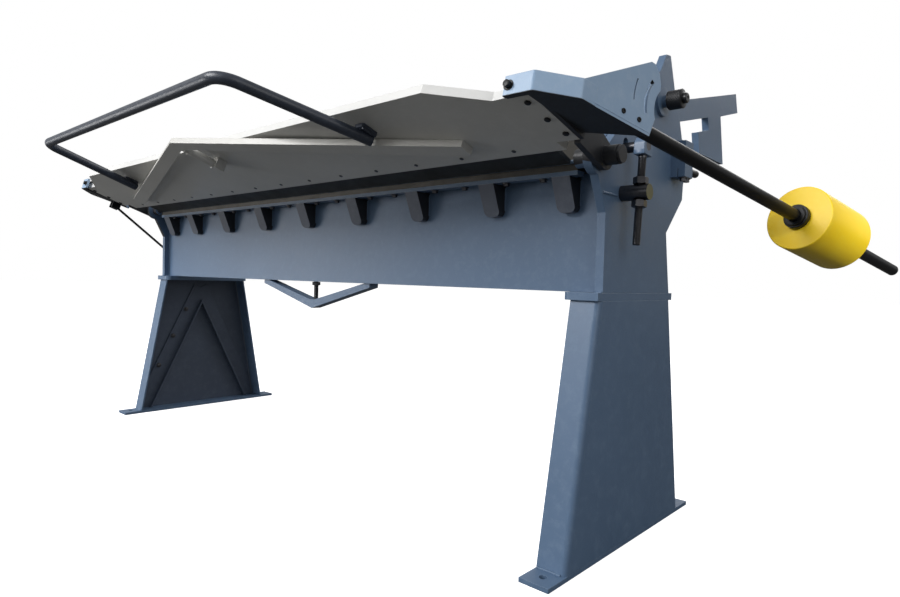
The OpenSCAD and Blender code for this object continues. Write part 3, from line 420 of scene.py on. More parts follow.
# tube or bead: the ring cos(a) side + sin(a) up, times the radius, at each point of a path
def sweep(path, side, radius, place, segments):
    path = np.asarray(path, float)
    run = np.gradient(path, axis=0)
    run /= np.linalg.norm(run, axis=1, keepdims=True)
    up = np.cross(run, np.broadcast_to(np.asarray(side, float), path.shape))
    up /= np.linalg.norm(up, axis=1, keepdims=True)
    across = np.cross(up, run)
    radius = np.broadcast_to(np.asarray(radius, float), (len(path),))
    angle = np.linspace(0, 2 * np.pi, segments, endpoint=False)
    ring = np.cos(angle)[None, :, None] * across[:, None] + np.sin(angle)[None, :, None] * up[:, None]
    grid = path[:, None] + ring * radius[:, None, None]
    ends = [np.broadcast_to(path[k], (1, segments, 3)) for k in (0, -1)]
    return solid(np.concatenate([ends[0], grid, ends[1]]), place)


# Weld beads: laid by hand, with a ripple every 2.6 mm and a slow wobble
beadLook = {
    "pitch": 0.0026, "base": 0.86, "ripple": 0.2, "wobble": 0.06, "wobbleRate": 310, "wobbleStart": 50,
    "endShare": 0.3, "side": (0.13, 0.31, 0.94), "perPitch": 5, "fewest": 8, "segments": 10,
}


# bead from start to end: r (base + ripple |sin(pi s / pitch)| + wobble sin(rate s + 50 length)), ends pinched
def weld(start, end, place, r):
    look = beadLook
    start, end = np.array(start, float), np.array(end, float)
    length = np.linalg.norm(end - start)
    s = np.linspace(0, length, max(look["fewest"], int(length / look["pitch"] * look["perPitch"])))
    ripple = look["ripple"] * np.abs(np.sin(np.pi * s / look["pitch"]))
    wobble = look["wobble"] * np.sin(s * look["wobbleRate"] + length * look["wobbleStart"])
    radius = r * (look["base"] + ripple + wobble)
    radius[0] = radius[-1] = r * look["endShare"]
    path = start + (end - start) * (s / length)[:, None]
    return sweep(path, look["side"], radius, place, look["segments"])


# box from low to high with its edges cut by c: rings of eight points between the centres of its two faces
def block(low, high, place, c):
    low, high = np.array(low, float), np.array(high, float)
    mid = (low + high) / 2

    def ring(inset, z):
        x0, y0, x1, y1 = low[0] + inset, low[1] + inset, high[0] - inset, high[1] - inset
        return [(x0 + c, y0, z), (x1 - c, y0, z), (x1, y0 + c, z), (x1, y1 - c, z),
                (x1 - c, y1, z), (x0 + c, y1, z), (x0, y1 - c, z), (x0, y0 + c, z)]
    rings = [[(mid[0], mid[1], low[2])] * 8, ring(c, low[2]), ring(0, low[2] + c), ring(0, high[2] - c),
             ring(c, high[2]), [(mid[0], mid[1], high[2])] * 8]
    return solid(np.array(rings, float), place)


# a part on the other side of the machine: x turned to -x, with its quads turned round
def mirrored(part):
    points, quads = part
    return points * np.array([-1.0, 1.0, 1.0]), quads[:, ::-1]


# parts and their mirror images
def pair(parts):
    return parts + [mirrored(part) for part in parts]


buildLook = {"smooth": 40.0, "weldAt": 1e-6}


# joins surfaces into one object: close points merge, and faces that meet at under 40 degrees shade smooth
def build(name, parts, slot, body, replaced=(), finish=None):
    starts = np.cumsum([0] + [len(part[0]) for part in parts])
    points = np.concatenate([part[0] for part in parts])
    quads = np.concatenate([part[1] + k for part, k in zip(parts, starts)])
    mesh = bpy.data.meshes.new(name)
    mesh.from_pydata(points.tolist(), [], quads.tolist())
    work = bmesh.new()
    work.from_mesh(mesh)
    bmesh.ops.remove_doubles(work, verts=work.verts, dist=buildLook["weldAt"])
    work.to_mesh(mesh)
    work.free()
    mesh.materials.append(finish or finishes[slot])
    mesh.shade_smooth()
    mesh.set_sharp_from_angle(angle=math.radians(buildLook["smooth"]))
    obj = addObject(name, mesh)
    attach(obj, body)
    if replaced:
        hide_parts(*replaced)
    print("piece:", name, len(mesh.polygons))


# The machine's main places, in metres and degrees: the side plates' outer faces, the leaf and its end arms
machine = {
    "plateOut": 1.12, "leafRaise": 19.7, "leafLow": 0.03, "leafHalf": 1.142, "leafReach": 0.352,
    "elbow": (0.091, -0.2395), "armPitch": 6.0, "armYaw": 16.0, "workLength": 2.1, "bedLength": 2.2,
}
plateOut, leafLow = machine["plateOut"], machine["leafLow"]
down = turn("X", 180)
leafPlace = shift(*leafPivot) @ turn("X", -machine["leafRaise"])
elbowPlace = leafPlace @ shift(plateOut + machine["elbow"][0], machine["elbow"][1], -leafLow)
armPlace = elbowPlace @ turn("Z", -machine["armYaw"]) @ turn("X", machine["armPitch"])

# Rod of the counterweight: drawn bar with chamfered ends, and a centre drilling in the far one
rod = {
    "inward": 0.0234, "start": 0.02, "height": 0.0214, "r": 0.015, "length": 1.25, "chamfer": 0.0015,
    "rings": (0.4, 0.8), "drillR": 0.003, "drillTipR": 0.0012, "drillDeep": 0.003, "segments": 64,
}
rodPlace = armPlace @ shift(-rod["inward"], rod["start"], rod["height"]) @ turn("X", -90)


# profile from the near end, over plain rings that keep the quads short, to the drilled end
def rodParts(look):
    r, length, c = look["r"], look["length"], look["chamfer"]
    bottom = length - look["drillDeep"]
    profile = [(0, 0), (r - c, 0), (r, c)] + [(r, z) for z in look["rings"]]
    profile += [(r, length - c), (r - c, length), (look["drillR"], length)]
    profile += [(look["drillTipR"], bottom), (0, bottom)]
    return [lathe(profile, rodPlace, look["segments"])]


# Counterweight: turned from bar, with rounded rims, a bevelled bore, and fine rings of the tool on its ends
weight = {
    "r": 0.08, "length": 0.19, "at": 0.742, "round": 0.003, "gap": 0.0001, "mouth": 0.002, "ringsFrom": 0.022,
    "rings": 60, "ringPitch": 0.0022, "ringDepth": 0.00012, "recess": 0.0003, "land": 0.002, "rimSteps": 10,
    "segments": 160,
}


# end face: z = recess + depth sin(2 pi r / pitch), then a quarter round; the other end is the same, mirrored
def weightParts(look):
    r, length, c = look["r"], look["length"], look["round"]
    quarter = np.linspace(0, np.pi / 2, look["rimSteps"])
    rim = np.stack([r - c + c * np.sin(quarter), c - c * np.cos(quarter)], -1)
    rings = np.linspace(look["ringsFrom"], r - c - look["land"], look["rings"])
    wave = look["ringDepth"] * np.sin(rings * 2 * np.pi / look["ringPitch"])
    face = np.stack([rings, look["recess"] + wave], -1)
    mouth = [(rod["r"] + look["gap"], look["mouth"]), (rod["r"] + look["mouth"], look["recess"])]
    half = np.concatenate([mouth, face, rim])
    profile = np.concatenate([half, [(r, length / 2)], (half * [1, -1] + [0, length])[::-1]])
    return [lathe(profile, rodPlace @ shift(0, 0, look["at"]), look["segments"], True)]


build("turnedCounterweight", weightParts(weight), "yellow_paint", "weight", ["counterweight"])

# Collar in front of the weight: a chamfered ring with a step, and the head of its clamping screw in the rim
collar = {
    "r": 0.03, "length": 0.02, "gap": 0.00005, "chamfer": 0.0012, "step": 0.005, "stepLength": 0.006,
    "slope": 0.0002, "segments": 96, "screwAt": 0.9, "screwSegments": 36,
    "screw": [(0, 0), (0.004, 0), (0.004, 0.0028), (0.0034, 0.0034), (0.0021, 0.0034), (0.0021, 0.0012),
              (0, 0.0012)],
}


# the ring's profile from its bore outwards and back, and the screw's, turned to point outwards
def collarParts(look):
    r, length, c = look["r"], look["length"], look["chamfer"]
    bore, step, shoulder = rod["r"] + look["gap"], r - look["step"], look["stepLength"] + look["slope"]
    place = rodPlace @ shift(0, 0, weight["at"] - length)
    ring = [(bore, c), (bore + c, 0), (step - c, 0), (step, c), (step, look["stepLength"]), (r - c, shoulder),
            (r, shoulder + c), (r, length - c), (r - c, length), (bore + c, length), (bore, length - c)]
    screwPlace = place @ shift(r * look["screwAt"], 0, length / 2) @ turn("Y", 90)
    screw = lathe(look["screw"], screwPlace, look["screwSegments"])
    return [lathe(ring, place, look["segments"], True), screw]


build("clampCollar", collarParts(collar), "black_steel", "weight", ["weight_collar"])
build("drawnRod", rodParts(rod), "black_steel", "leaf", ["counterweight_rod"])

# Lock pin with its knob, turned in one piece, bored over the sleeve and rolled with a diamond knurl
knob = {
    "at": (0.302, 0.184), "pinR": 0.009, "tip": -0.024, "tipChamfer": 0.001, "start": 0.0204, "r": 0.0235,
    "length": 0.036, "bore": 0.0154, "deep": 0.012, "capR": 0.01269, "capLength": 0.0108, "capRound": 0.002,
    "neck": 0.0025, "shoulder": 0.001, "capEdge": 0.0006, "edge": (0.0015, 0.0004, 0.0008), "step": 0.00055,
    "centre": (0.004, 0.003, 0.0015), "turns": 24, "pitch": 0.006, "depth": 0.0011, "plain": 0.003,
    "fade": 0.0012, "segments": 204,
}
lockPlace = shift(plateOut, leafPivot[1] + knob["at"][0], leafPivot[2] + knob["at"][1]) @ turn("Y", 90)


# diamonds: -depth max(t(a), t(b)), t(x) = |2 frac(x) - 1|, with a, b = turns angle / 2 pi + or - z / pitch
def knurl(angle, height, radius):
    low = knob["start"] + knob["plain"]
    high = knob["start"] + knob["length"] - knob["plain"]
    fade = np.clip(np.minimum(height - low, high - height) / knob["fade"], 0, 1)
    around = angle * knob["turns"] / (2 * np.pi)
    a = (around + height / knob["pitch"]) % 1.0
    b = (around - height / knob["pitch"]) % 1.0
    wave = np.maximum(np.abs(2 * a - 1), np.abs(2 * b - 1))
    return -knob["depth"] * fade * wave * atFull(radius, knob["r"])


# profile from the pin's tip into the bore, along the grip in fine rows, and over the cap
def knobParts(look):
    r, start, pin, tip, capR = look["r"], look["start"], look["pinR"], look["tip"], look["capR"]
    end, bottom = start + look["length"], start + look["deep"]
    top = end + look["capLength"]
    flat, inset, rise = look["edge"]
    outer, inner, dip = look["centre"]
    shank = [(0, tip), (pin - look["tipChamfer"], tip), (pin, tip + look["tipChamfer"]), (pin, bottom)]
    shank += [(look["bore"], bottom), (look["bore"], start), (r - flat, start), (r - inset, start + rise)]
    grip = fineRows(r, start + flat, end - flat, look["step"])
    cap = [(r - inset, end - rise), (r - look["neck"], end), (capR + look["shoulder"], end)]
    cap += [(capR, end + look["capEdge"]), (capR, top - look["capRound"]), (capR - look["capRound"], top)]
    cap += [(outer, top), (inner, top - dip), (0, top - dip)]
    return [lathe(np.concatenate([shank, grip, cap]), lockPlace, look["segments"], False, knurl)]


rightKnob = knobParts(knob)
build("knurledKnobRight", rightKnob, "knob_black", "lock_right", ["lock_pin_right"])
build("knurledKnobLeft", [mirrored(part) for part in rightKnob], "knob_black", "lock_left", ["lock_pin_left"])

# Clamp linkage: eyes on the fulcrum pins, their threaded studs, and two nuts on each stud round its cross pin
stud = {
    "fulcrum": (0.119, 0.038), "out": 0.043, "lean": 4.5, "r": 0.009, "length": 0.224, "shorter": 0.024,
    "top": -0.0205, "threadTop": -0.0215, "tip": (0.0018, 0.0012, 0.0012, 0.0025), "step": 0.0003125,
    "pitch": 0.0025, "depth": 0.0012, "runOut": 0.026, "runLength": 0.004, "segments": 40,
}
eye = {"width": 0.026, "depth": 0.04, "height": 0.044, "bore": 0.01205, "chamfer": 0.0012, "segments": 96}
nut = {"r": 0.017, "height": 0.016, "gap": 0.0002, "crossR": 0.018, "crossAt": 0.105}
fulcrumY, fulcrumZ = leafPivot[1] + stud["fulcrum"][0], leafPivot[2] + stud["fulcrum"][1]
studPlace = shift(plateOut + stud["out"], fulcrumY, fulcrumZ) @ turn("X", -stud["lean"])


# eye: a ring round the pin, whose lower half is square: edge = min(depth / 2 |cos a|, height / 2 |sin a|)
def eyePart(look, place):
    width, reach, low, c = look["width"] / 2, look["depth"] / 2, look["height"] / 2, look["chamfer"]
    angle = np.linspace(0, 2 * np.pi, look["segments"], endpoint=False)
    box = np.minimum(reach / np.maximum(np.abs(np.cos(angle)), tiny), low / np.maximum(-np.sin(angle), tiny))
    edge = np.where(np.sin(angle) >= 0, reach, box)
    rings = [(look["bore"], -width), (edge - c, -width), (edge, c - width)]
    rings += [(edge, width - c), (edge - c, width), (look["bore"], width)]
    grid = np.stack([np.stack([x + 0 * angle, q * np.cos(angle), q * np.sin(angle)], -1) for q, x in rings])
    return solid(grid, place, True)


# -depth threadWave, which runs out towards the eye
def studThread(angle, height, radius):
    ends = np.clip(-height - stud["runOut"], 0, stud["runLength"]) / stud["runLength"]
    return -stud["depth"] * threadWave(angle, height, stud["pitch"]) * ends * atFull(radius, stud["r"])


# profile from the tip, along the thread in fine rows, to the plain end in the eye
def studPart(look, length, place):
    r = look["r"]
    inset, edge, rise, start = look["tip"]
    rows = fineRows(r, start - length, look["threadTop"], look["step"])
    tip = [(0, -length), (r - inset, -length), (r - edge, rise - length)]
    profile = np.concatenate([tip, rows, [(r, look["top"]), (0, look["top"])]])
    return lathe(profile, place, look["segments"], False, studThread)


# a nut at a height over its cross pin
def nutPart(look, height):
    bore = stud["r"] + look["gap"]
    return hexPart(look["r"], look["height"], studPlace @ shift(0, 0, height - look["crossAt"]), bore, True)


build("paintedEyes", pair([eyePart(eye, studPlace)]), "frame_paint", "fulcrum", ["eye_bolts"])
leftStud = mirrored(studPart(stud, stud["length"] - stud["shorter"], studPlace))
build("threadedStuds", [studPart(stud, stud["length"], studPlace), leftStud], "zinc_steel", "fulcrum")
nuts = [nutPart(nut, nut["crossR"]), nutPart(nut, -nut["crossR"] - nut["height"])]
build("chamferedNuts", pair(nuts), "zinc_steel", "frame", ["adjusting_nuts"])

# Handle of the leaf: one bent tube on two pads, with the beads that hold them
handle = {
    "r": 0.01335, "reach": 0.592, "foot": 0.258, "footX": 0.674922, "length": 1.138, "bend": 0.06,
    "drop": 0.024, "padThick": 0.004, "padLength": 1.8, "chamfer": 0.0012, "sunk": 0.0008, "topR": 0.003,
    "topEnd": 0.003, "lowR": 0.0026, "lowIn": 0.002, "lowEnds": (0.004, 0.012), "bendSteps": 24,
    "legSteps": 12, "gripSteps": 30, "segments": 36,
}


# in the tube's plane: half the grip, an arc centre + bend (cos a, sin a) and a slanted leg, then mirrored
def handlePath(look, reach):
    sideX = look["footX"] - look["length"] / 2
    turned = 90 - math.degrees(math.atan(sideX / reach))
    tangent = look["bend"] * math.tan(math.radians(turned / 2))
    legLength = math.hypot(sideX, reach) - tangent
    centre = np.array([look["length"] / 2 - tangent, look["bend"] - reach])
    angle = np.radians(np.linspace(-90, turned - 90, look["bendSteps"]))
    arc = centre + look["bend"] * np.stack([np.cos(angle), np.sin(angle)], -1)
    heading = np.array([-math.sin(angle[-1]), math.cos(angle[-1])])
    leg = arc[-1] + heading * np.linspace(0, legLength, look["legSteps"])[1:, None]
    along = np.linspace(0, centre[0], look["gripSteps"])[1:-1]
    half = np.concatenate([np.stack([along, np.full_like(along, -reach)], -1), arc, leg])
    flat = np.concatenate([(half * [-1, 1])[::-1], half])
    return np.concatenate([flat, np.zeros((len(flat), 1))], 1)


# a pad under the leaf at x, with two beads to the leaf and two to the tube
def padParts(look, x, height):
    r = look["r"]
    low = (x - r, -look["foot"] - look["padLength"] * 2 * r, height + r / 2)
    parts = [block(low, (x + r, -look["foot"], -leafLow), leafPlace, look["chamfer"])]
    for side in (-1, 1):
        z, end = -leafLow - look["sunk"], look["topEnd"]
        start = (x + side * r, low[1] + end, z)
        parts.append(weld(start, (x + side * r, -look["foot"] - end, z), leafPlace, look["topR"]))
        inner = x + side * (r - look["lowIn"])
        near, far = look["lowEnds"]
        start = (inner, low[1] + near, low[2])
        parts.append(weld(start, (inner, -look["foot"] - far, low[2]), leafPlace, look["lowR"]))
    return parts


# the tube's plane starts at the pads and sinks by the drop over the handle's reach
def handleParts(look):
    reach = look["reach"] - look["foot"]
    sink = math.degrees(math.atan(look["drop"] / reach))
    height = -leafLow - look["padThick"] - look["r"]
    place = leafPlace @ shift(0, -look["foot"], height) @ turn("X", sink)
    tube = sweep(handlePath(look, reach), (0, 0, 1), look["r"], place, look["segments"])
    return [tube] + padParts(look, -look["footX"], height) + padParts(look, look["footX"], height)


build("bentHandle", handleParts(handle), "black_steel", "leaf", ["handle"], finish=extras["handle"])

# Bolts of the arms: heads under the leaf with nuts above, one on each tip, and two screws that grip the rod
armBolt = {
    "spots": ((0.971, 0.739), (0.977, 0.567), (0.986, 0.413)), "headR": 0.0068, "headHeight": 0.0032,
    "nutR": 0.0105, "nutHeight": 0.008, "nutAt": 0.032, "tipAt": (-0.09572, -0.0938, 0.02), "tipTurn": 19.03,
    "tipR": 0.0075, "tipHeight": 0.008, "clampR": 0.0052, "clampHeight": 0.0022, "clampAlong": 0.181,
    "clampShares": (0.58, 0.82),
}


# spots are shares of the leaf's half length and of its reach, on its underside
def armBoltParts(look):
    spots = [leafPlace @ shift(across * machine["leafHalf"], -out * machine["leafReach"], -leafLow)
             for across, out in look["spots"]]
    heads = [hexPart(look["headR"], look["headHeight"], spot @ down) for spot in spots]
    bolts = [hexPart(look["nutR"], look["nutHeight"], spot @ shift(0, 0, look["nutAt"])) for spot in spots]
    tipPlace = armPlace @ shift(*look["tipAt"]) @ turn("Z", look["tipTurn"]) @ turn("X", 90)
    clamps = []
    for share in look["clampShares"]:
        spot = armPlace @ shift(0, look["clampAlong"] * share, rod["height"]) @ turn("Y", 90)
        clamps.append(socketPart(look["clampR"], look["clampHeight"], spot))
    return pair(heads + bolts + washedBolt(look["tipR"], look["tipHeight"], tipPlace)) + clamps


build("armBolts", armBoltParts(armBolt), "black_steel", "leaf", ["arm_bolts"])

# Screws under the leaf's bar, evenly spaced and almost flush
barScrew = {"count": 14, "y": -0.109, "r": 0.0052, "height": 0.0012}


# x = length ((i + 0.5) / count - 0.5)
def barScrewPart(look, i):
    x = machine["workLength"] * ((i + 0.5) / look["count"] - 0.5)
    return socketPart(look["r"], look["height"], leafPlace @ shift(x, look["y"], -leafLow) @ down)


barHeads = [barScrewPart(barScrew, i) for i in range(barScrew["count"])]
build("barScrews", barHeads, "zinc_steel", "leaf", ["bar_screws"])

# One screw in the middle of each finger; the shares are the fingers' widths
fingerScrew = {
    "shares": [0.024, 0.036, 0.048, 0.060, 0.072, 0.095, 0.119, 0.143, 0.167, 0.236],
    "y": -0.07760, "z": 1.04713, "lean": 45, "r": 0.0075, "height": 0.0055,
}


# x = length (sum of the shares before it + half its own - 0.5)
def fingerScrewPart(look, i):
    shares = look["shares"]
    x = machine["workLength"] * (sum(shares[:i]) + shares[i] / 2 - 0.5)
    return socketPart(look["r"], look["height"], shift(x, look["y"], look["z"]) @ turn("X", look["lean"]))


fingerHeads = [fingerScrewPart(fingerScrew, i) for i in range(len(fingerScrew["shares"]))]
build("fingerScrews", fingerHeads, "zinc_steel", "clamp", ["finger_screws"])

# Three bolts through each leg's diagonal brace
braceBolt = {
    "at": (1.10795, -0.2301, 0.01), "lean": 64.09, "shares": (0.35, 0.63, 0.89), "length": 0.5267,
    "across": 0.05082, "r": 0.0075, "height": 0.0055,
}


# along the leaning brace at a share of its length
def braceBoltParts(look, share):
    bracePlace = shift(*look["at"]) @ turn("X", look["lean"])
    spot = bracePlace @ shift(0, look["length"] * share, look["across"]) @ turn("Y", -90)
    return washedBolt(look["r"], look["height"], spot)


braceHeads = [part for share in braceBolt["shares"] for part in braceBoltParts(braceBolt, share)]
build("braceBolts", pair(braceHeads), "zinc_steel", "frame", ["brace_bolts"])

# Two bolts under the bed between each pair of gussets, whose places are shares of the bed's length
gussetAt = [0, 0.1215, 0.243, 0.3645, 0.4632]
packingBolt = {"y": -0.193, "z": 0.871, "spread": 5, "r": 0.0075, "height": 0.0055}


# on either side of the middle between two gussets
def packingBoltParts(look, i, sign):
    middle = machine["bedLength"] * (gussetAt[i] + gussetAt[i + 1]) / 2
    x = middle + sign * gussetAt[1] * machine["bedLength"] / look["spread"]
    return washedBolt(look["r"], look["height"], shift(x, look["y"], look["z"]) @ down)


gaps = range(len(gussetAt) - 1)
packHeads = [head for i in gaps for sign in (-1, 1) for head in packingBoltParts(packingBolt, i, sign)]
build("packingBolts", pair(packHeads), "zinc_steel", "frame", ["packing_bolts"])

# Two bolts under each gauge bracket at the back of the bed
gaugeBolt = {"out": 0.02774, "back": 0.4, "apart": 0.0125, "above": 0.007, "r": 0.0075, "height": 0.008}


# before or behind the bracket's middle
def gaugeBoltParts(look, sign):
    y = leafPivot[1] + look["back"] + sign * look["apart"]
    spot = shift(plateOut + look["out"], y, leafPivot[2] + look["above"]) @ down
    return washedBolt(look["r"], look["height"], spot)


gaugeHeads = gaugeBoltParts(gaugeBolt, -1) + gaugeBoltParts(gaugeBolt, 1)
build("gaugeBolts", pair(gaugeHeads), "zinc_steel", "frame", ["gauge_bolts"])

# Truss screw under the bed: a threaded rod with its chamfered nut
truss = {
    "at": (0, -0.131, 0.5486), "r": 0.008, "endR": 0.0078, "low": 0.00005, "top": 0.0614,
    "thread": (0.0003, 0.0611), "step": 0.00033, "pitch": 0.002, "depth": 0.0009, "nutR": 0.015,
    "nutHeight": 0.012, "nutAt": 0.047892, "segments": 36,
}


# -depth threadWave
def trussThread(angle, height, radius):
    return -truss["depth"] * threadWave(angle, height, truss["pitch"]) * atFull(radius, truss["r"])


# profile from the low end, along the thread in fine rows, to the top; the nut sits near the top
def trussParts(look):
    place = shift(*look["at"])
    rows = fineRows(look["r"], *look["thread"], look["step"])
    low, top = look["low"], look["top"]
    profile = np.concatenate([[(0, low), (look["endR"], low)], rows, [(look["endR"], top), (0, top)]])
    nutPlace = place @ shift(0, 0, look["nutAt"])
    screw = lathe(profile, place, look["segments"], False, trussThread)
    return [screw, hexPart(look["nutR"], look["nutHeight"], nutPlace, 0.0, True)]


build("trussScrew", trussParts(truss), "zinc_steel", "frame", ["bed_truss_screw"])

# Folded band of the arm: its sheet turns twice over a 9 mm tool, so its corners are round
bandLook = {
    "corners": [(-0.105, -0.097), (-0.047, -0.077), (0.0, 0.0), (0.0, 0.034)], "bend": 0.009, "deep": 0.0078,
    "samples": 12, "fadeFrom": 0.008, "fadeOver": 0.026, "fadeShare": 0.8,
}
bandFace = {"low": 0.0008, "high": 0.0403, "proud": 0.0008, "chamfer": 0.0006}
# painted shade: a thin near-black strip over the band's underside and its lowest millimetre, where the gap to
# the leaf lies in shade
bandShadeLook = {"low": -0.0003, "high": 0.001, "proud": 0.0007, "chamfer": 0.0003}


# Centre line with its heading phi: straight legs, joined by arcs of points centre + bend (sin phi, -cos phi)
def bandPath(look):
    corners, bend, samples = np.array(look["corners"]), look["bend"], look["samples"]
    legs = np.diff(corners, axis=0)
    heading = np.arctan2(legs[:, 1], legs[:, 0])
    along = np.stack([np.cos(heading), np.sin(heading)], -1)
    reach = bend * np.tan(np.diff(heading) / 2)
    starts, ends = corners[:-1].copy(), corners[1:].copy()
    starts[1:] += reach[:, None] * along[1:]
    ends[:-1] -= reach[:, None] * along[:-1]
    lines = []
    for k in range(len(legs)):
        points = starts[k] + (ends[k] - starts[k]) * np.linspace(0, 1, samples)[:, None]
        lines.append(np.column_stack([points, np.full(samples, heading[k])]))
        if k < len(reach):
            centre = ends[k] + bend * np.array([-along[k, 1], along[k, 0]])
            phi = np.linspace(heading[k], heading[k + 1], samples)[1:-1]
            arc = centre + bend * np.stack([np.sin(phi), -np.cos(phi)], -1)
            lines.append(np.column_stack([arc, phi]))
    return np.concatenate(lines)


# Eight corners at each point of the path: p + d (sin phi, -cos phi) at height z, where d is proud outside and
# -deep inside. The outside fades into the wall behind the last fold
def foldedBand(look, face):
    path = bandPath(look)
    c, low, high = face["chamfer"], face["low"], face["high"]
    fade = np.clip((path[:, 1] - look["fadeFrom"]) / look["fadeOver"], 0, 1)
    outside = face["proud"] * (1 - look["fadeShare"] * fade)
    inside = np.full(len(path), -look["deep"])
    ring = [(outside, low + c), (outside, high - c), (outside - c, high), (inside + c, high),
            (inside, high - c), (inside, low + c), (inside + c, low), (outside - c, low)]
    side = np.stack([np.sin(path[:, 2]), -np.cos(path[:, 2])], -1)
    lines = [np.column_stack([path[:, :2] + side * d[:, None], np.full(len(path), z)]) for d, z in ring]
    grid = np.stack(lines, 1)
    ends = [np.repeat(grid[k].mean(0)[None], len(ring), 0)[None] for k in (0, -1)]
    return solid(np.concatenate([ends[0], grid, ends[1]]), armPlace)


build("foldedBands", pair([foldedBand(bandLook, bandFace)]), "arm_paint", "leaf")
# the strip under each band gets the painted shade
shadeStrips = pair([foldedBand(bandLook, bandShadeLook)])
build("bandShadeStrips", shadeStrips, "arm_paint", "leaf", finish=extras["under"])

# Beads as (start, end, radius). On the arm: hub to web, and the step under the leaf's end
armSeams = [
    ((1.131, -0.13, -0.0105), (1.131, -0.27, -0.0105), 0.0022),
    ((1.2105, -0.2385, -0.0235), (1.2595, -0.068, -0.0045), 0.0016),
]
# On the frame: both flanges of a leg on its foot, the panel in the side plate, and the side plate on its cap
frameSeams = [
    ((1.050, -0.2955, 0.0105), (1.108, -0.2955, 0.0105), 0.0034),
    ((1.050, 0.2955, 0.0105), (1.108, 0.2955, 0.0105), 0.0034),
    ((1.0985, -0.156, 0.612), (1.0985, -0.156, 0.862), 0.0026),
    ((1.102, -0.1785, 0.6105), (1.118, -0.1785, 0.6105), 0.003),
    ((1.0995, -0.17, 0.6105), (1.0995, 0.17, 0.6105), 0.003),
]
# On both sides of each gusset, down the panel
gussetSeam = {"out": 0.0245, "y": -0.1555, "top": 0.866, "low": 0.808, "r": 0.0022}
for share in gussetAt:
    for sign in (-1, 1):
        x = share * machine["bedLength"] + sign * gussetSeam["out"]
        top = (x, gussetSeam["y"], gussetSeam["top"])
        low = (x, gussetSeam["y"], gussetSeam["low"])
        frameSeams.append((top, low, gussetSeam["r"]))
armBeads = [weld(start, end, leafPlace, r) for start, end, r in armSeams]
frameBeads = [weld(start, end, np.eye(4), r) for start, end, r in frameSeams]
build("armWelds", pair(armBeads), "arm_paint", "leaf")
build("weldBeads", pair(frameBeads), "frame_paint", "frame")
print("all pieces ready")

# Camera, from the photograph's own vanishing points: its place in metres and two of its axes
cameraView = {
    "place": (1.787, -1.425, 0.633), "right": (0.7431, 0.6686, 0.0275), "down": (0.0420, -0.0056, -0.9991),
    "focalPixels": 621.7, "imageWidth": 900, "sensorMm": 36.0, "nearest": 0.05, "furthest": 60.0,
}


# the down axis is squared to the right one, and the lens = sensor * focal pixels / image width
def placeCamera(view):
    right, below = Vector(view["right"]).normalized(), Vector(view["down"])
    below = (below - right * below.dot(right)).normalized()
    back = right.cross(-below).normalized()
    lens = bpy.data.cameras.new("camera")
    lens.sensor_width = view["sensorMm"]
    lens.lens = view["sensorMm"] * view["focalPixels"] / view["imageWidth"]
    lens.clip_start = view["nearest"]
    lens.clip_end = view["furthest"]
    camera = addObject("camera", lens)
    axes = Matrix((right, -below, back)).transposed().to_4x4()
    camera.matrix_world = Matrix.Translation(Vector(view["place"])) @ axes
    bpy.context.scene.camera = camera


placeCamera(cameraView)
print("camera placed")

# Studio floor of white paper: it glows, so for the camera only the shadow greys it
floorLook = {"size": 60.0, "glow": 0.76, "seen": "#ffffff", "felt": "#5c5c5c", "depth": -0.0005}


# one quad just under the feet; camera rays meet glowing white, and other rays the grey
def makeFloor(look):
    half, z = look["size"] / 2, look["depth"]
    mesh = bpy.data.meshes.new("floor")
    corners = [(-half, -half, z), (half, -half, z), (half, half, z), (-half, half, z)]
    mesh.from_pydata(corners, [], [(0, 1, 2, 3)])
    floor = addObject("floor", mesh)
    mat = bpy.data.materials.new("paleFloor")
    tree = emptyTree(mat)
    path = addNode(tree, "LightPath")
    shade = addNode(tree, "BsdfDiffuse", None, {"Color": hexColour(look["felt"])})
    pale = addNode(tree, "BsdfDiffuse", None, {"Color": hexColour(look["seen"])})
    glow = addNode(tree, "Emission", None, {"Color": hexColour(look["seen"]), "Strength": look["glow"]})
    lit = addNode(tree, "AddShader", None, {0: (pale, 0), 1: (glow, 0)})
    both = addNode(tree, "MixShader", None, {0: (path, "Is Camera Ray"), 1: (shade, 0), 2: (lit, 0)})
    addNode(tree, "OutputMaterial", None, {"Surface": (both, 0)})
    mesh.materials.append(mat)


makeFloor(floorLook)
print("floor ready")

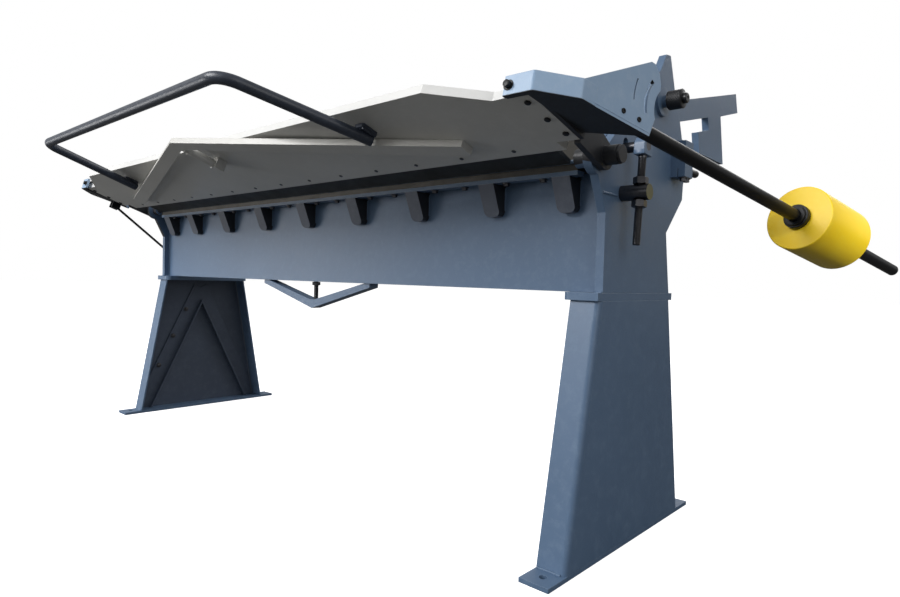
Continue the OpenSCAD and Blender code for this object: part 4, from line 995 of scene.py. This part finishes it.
# Soft light, in metres and watts: a large key lamp high at the front left, a weak fill at the right, a low
# lamp for the left leg and one behind. A narrow spot keeps the yellow weight bright
lampLook = [
    {"name": "keyLamp", "place": (-1.6, -4.6, 3.6), "aim": (0.1, -0.1, 0.7), "size": 2.4, "power": 260.0},
    {"name": "fillLamp", "place": (4.4, -1.6, 2.4), "aim": (0.5, 0.0, 0.7), "size": 2.6, "power": 31.0},
    {"name": "lowLamp", "place": (-3.2, -2.6, 0.35), "aim": (-0.8, -0.3, 0.9), "size": 1.6, "power": 34.0},
    {"name": "backLamp", "place": (0.5, 3.8, 3.6), "aim": (0.0, 0.0, 0.8), "size": 3.0, "power": 70.0},
]
spotLook = {
    "name": "weightSpot", "place": (3.9, -0.9, 1.9), "aim": (1.41, 0.53, 0.80), "degrees": 9.0, "blend": 0.5,
    "softness": 0.2, "power": 400.0,
}


# a lamp's -Z axis points from its place to its aim
def placeLamp(look, data):
    data.energy = look["power"]
    lamp = addObject(look["name"], data)
    lamp.location = look["place"]
    lamp.rotation_euler = (Vector(look["aim"]) - Vector(look["place"])).to_track_quat("-Z", "Y").to_euler()


# square area lamp
def makeLamp(look):
    data = bpy.data.lights.new(look["name"], "AREA")
    data.shape = "SQUARE"
    data.size = look["size"]
    placeLamp(look, data)


# round spot with a soft rim
def makeSpot(look):
    data = bpy.data.lights.new(look["name"], "SPOT")
    data.spot_size = math.radians(look["degrees"])
    data.spot_blend = look["blend"]
    data.shadow_soft_size = look["softness"]
    placeLamp(look, data)


for look in lampLook:
    makeLamp(look)
makeSpot(spotLook)
print("lamps:", len(lampLook) + 1)

# Sky: white where the camera sees it, and weaker as a light
skyLook = {"seen": 1.0, "felt": 0.42}


# strength = felt, or seen where the ray comes from the camera
def makeWorld(look):
    world = bpy.data.worlds.new("studio")
    bpy.context.scene.world = world
    tree = emptyTree(world)
    path = addNode(tree, "LightPath")
    level = addNode(tree, "MapRange", None, {0: (path, "Is Camera Ray"), 3: look["felt"], 4: look["seen"]})
    back = addNode(tree, "Background", None, {"Color": (1, 1, 1, 1), "Strength": (level, 0)})
    addNode(tree, "OutputWorld", None, {"Surface": (back, 0)})


makeWorld(skyLook)
bpy.context.scene.view_settings.view_transform = "Standard"
print("stage ready")
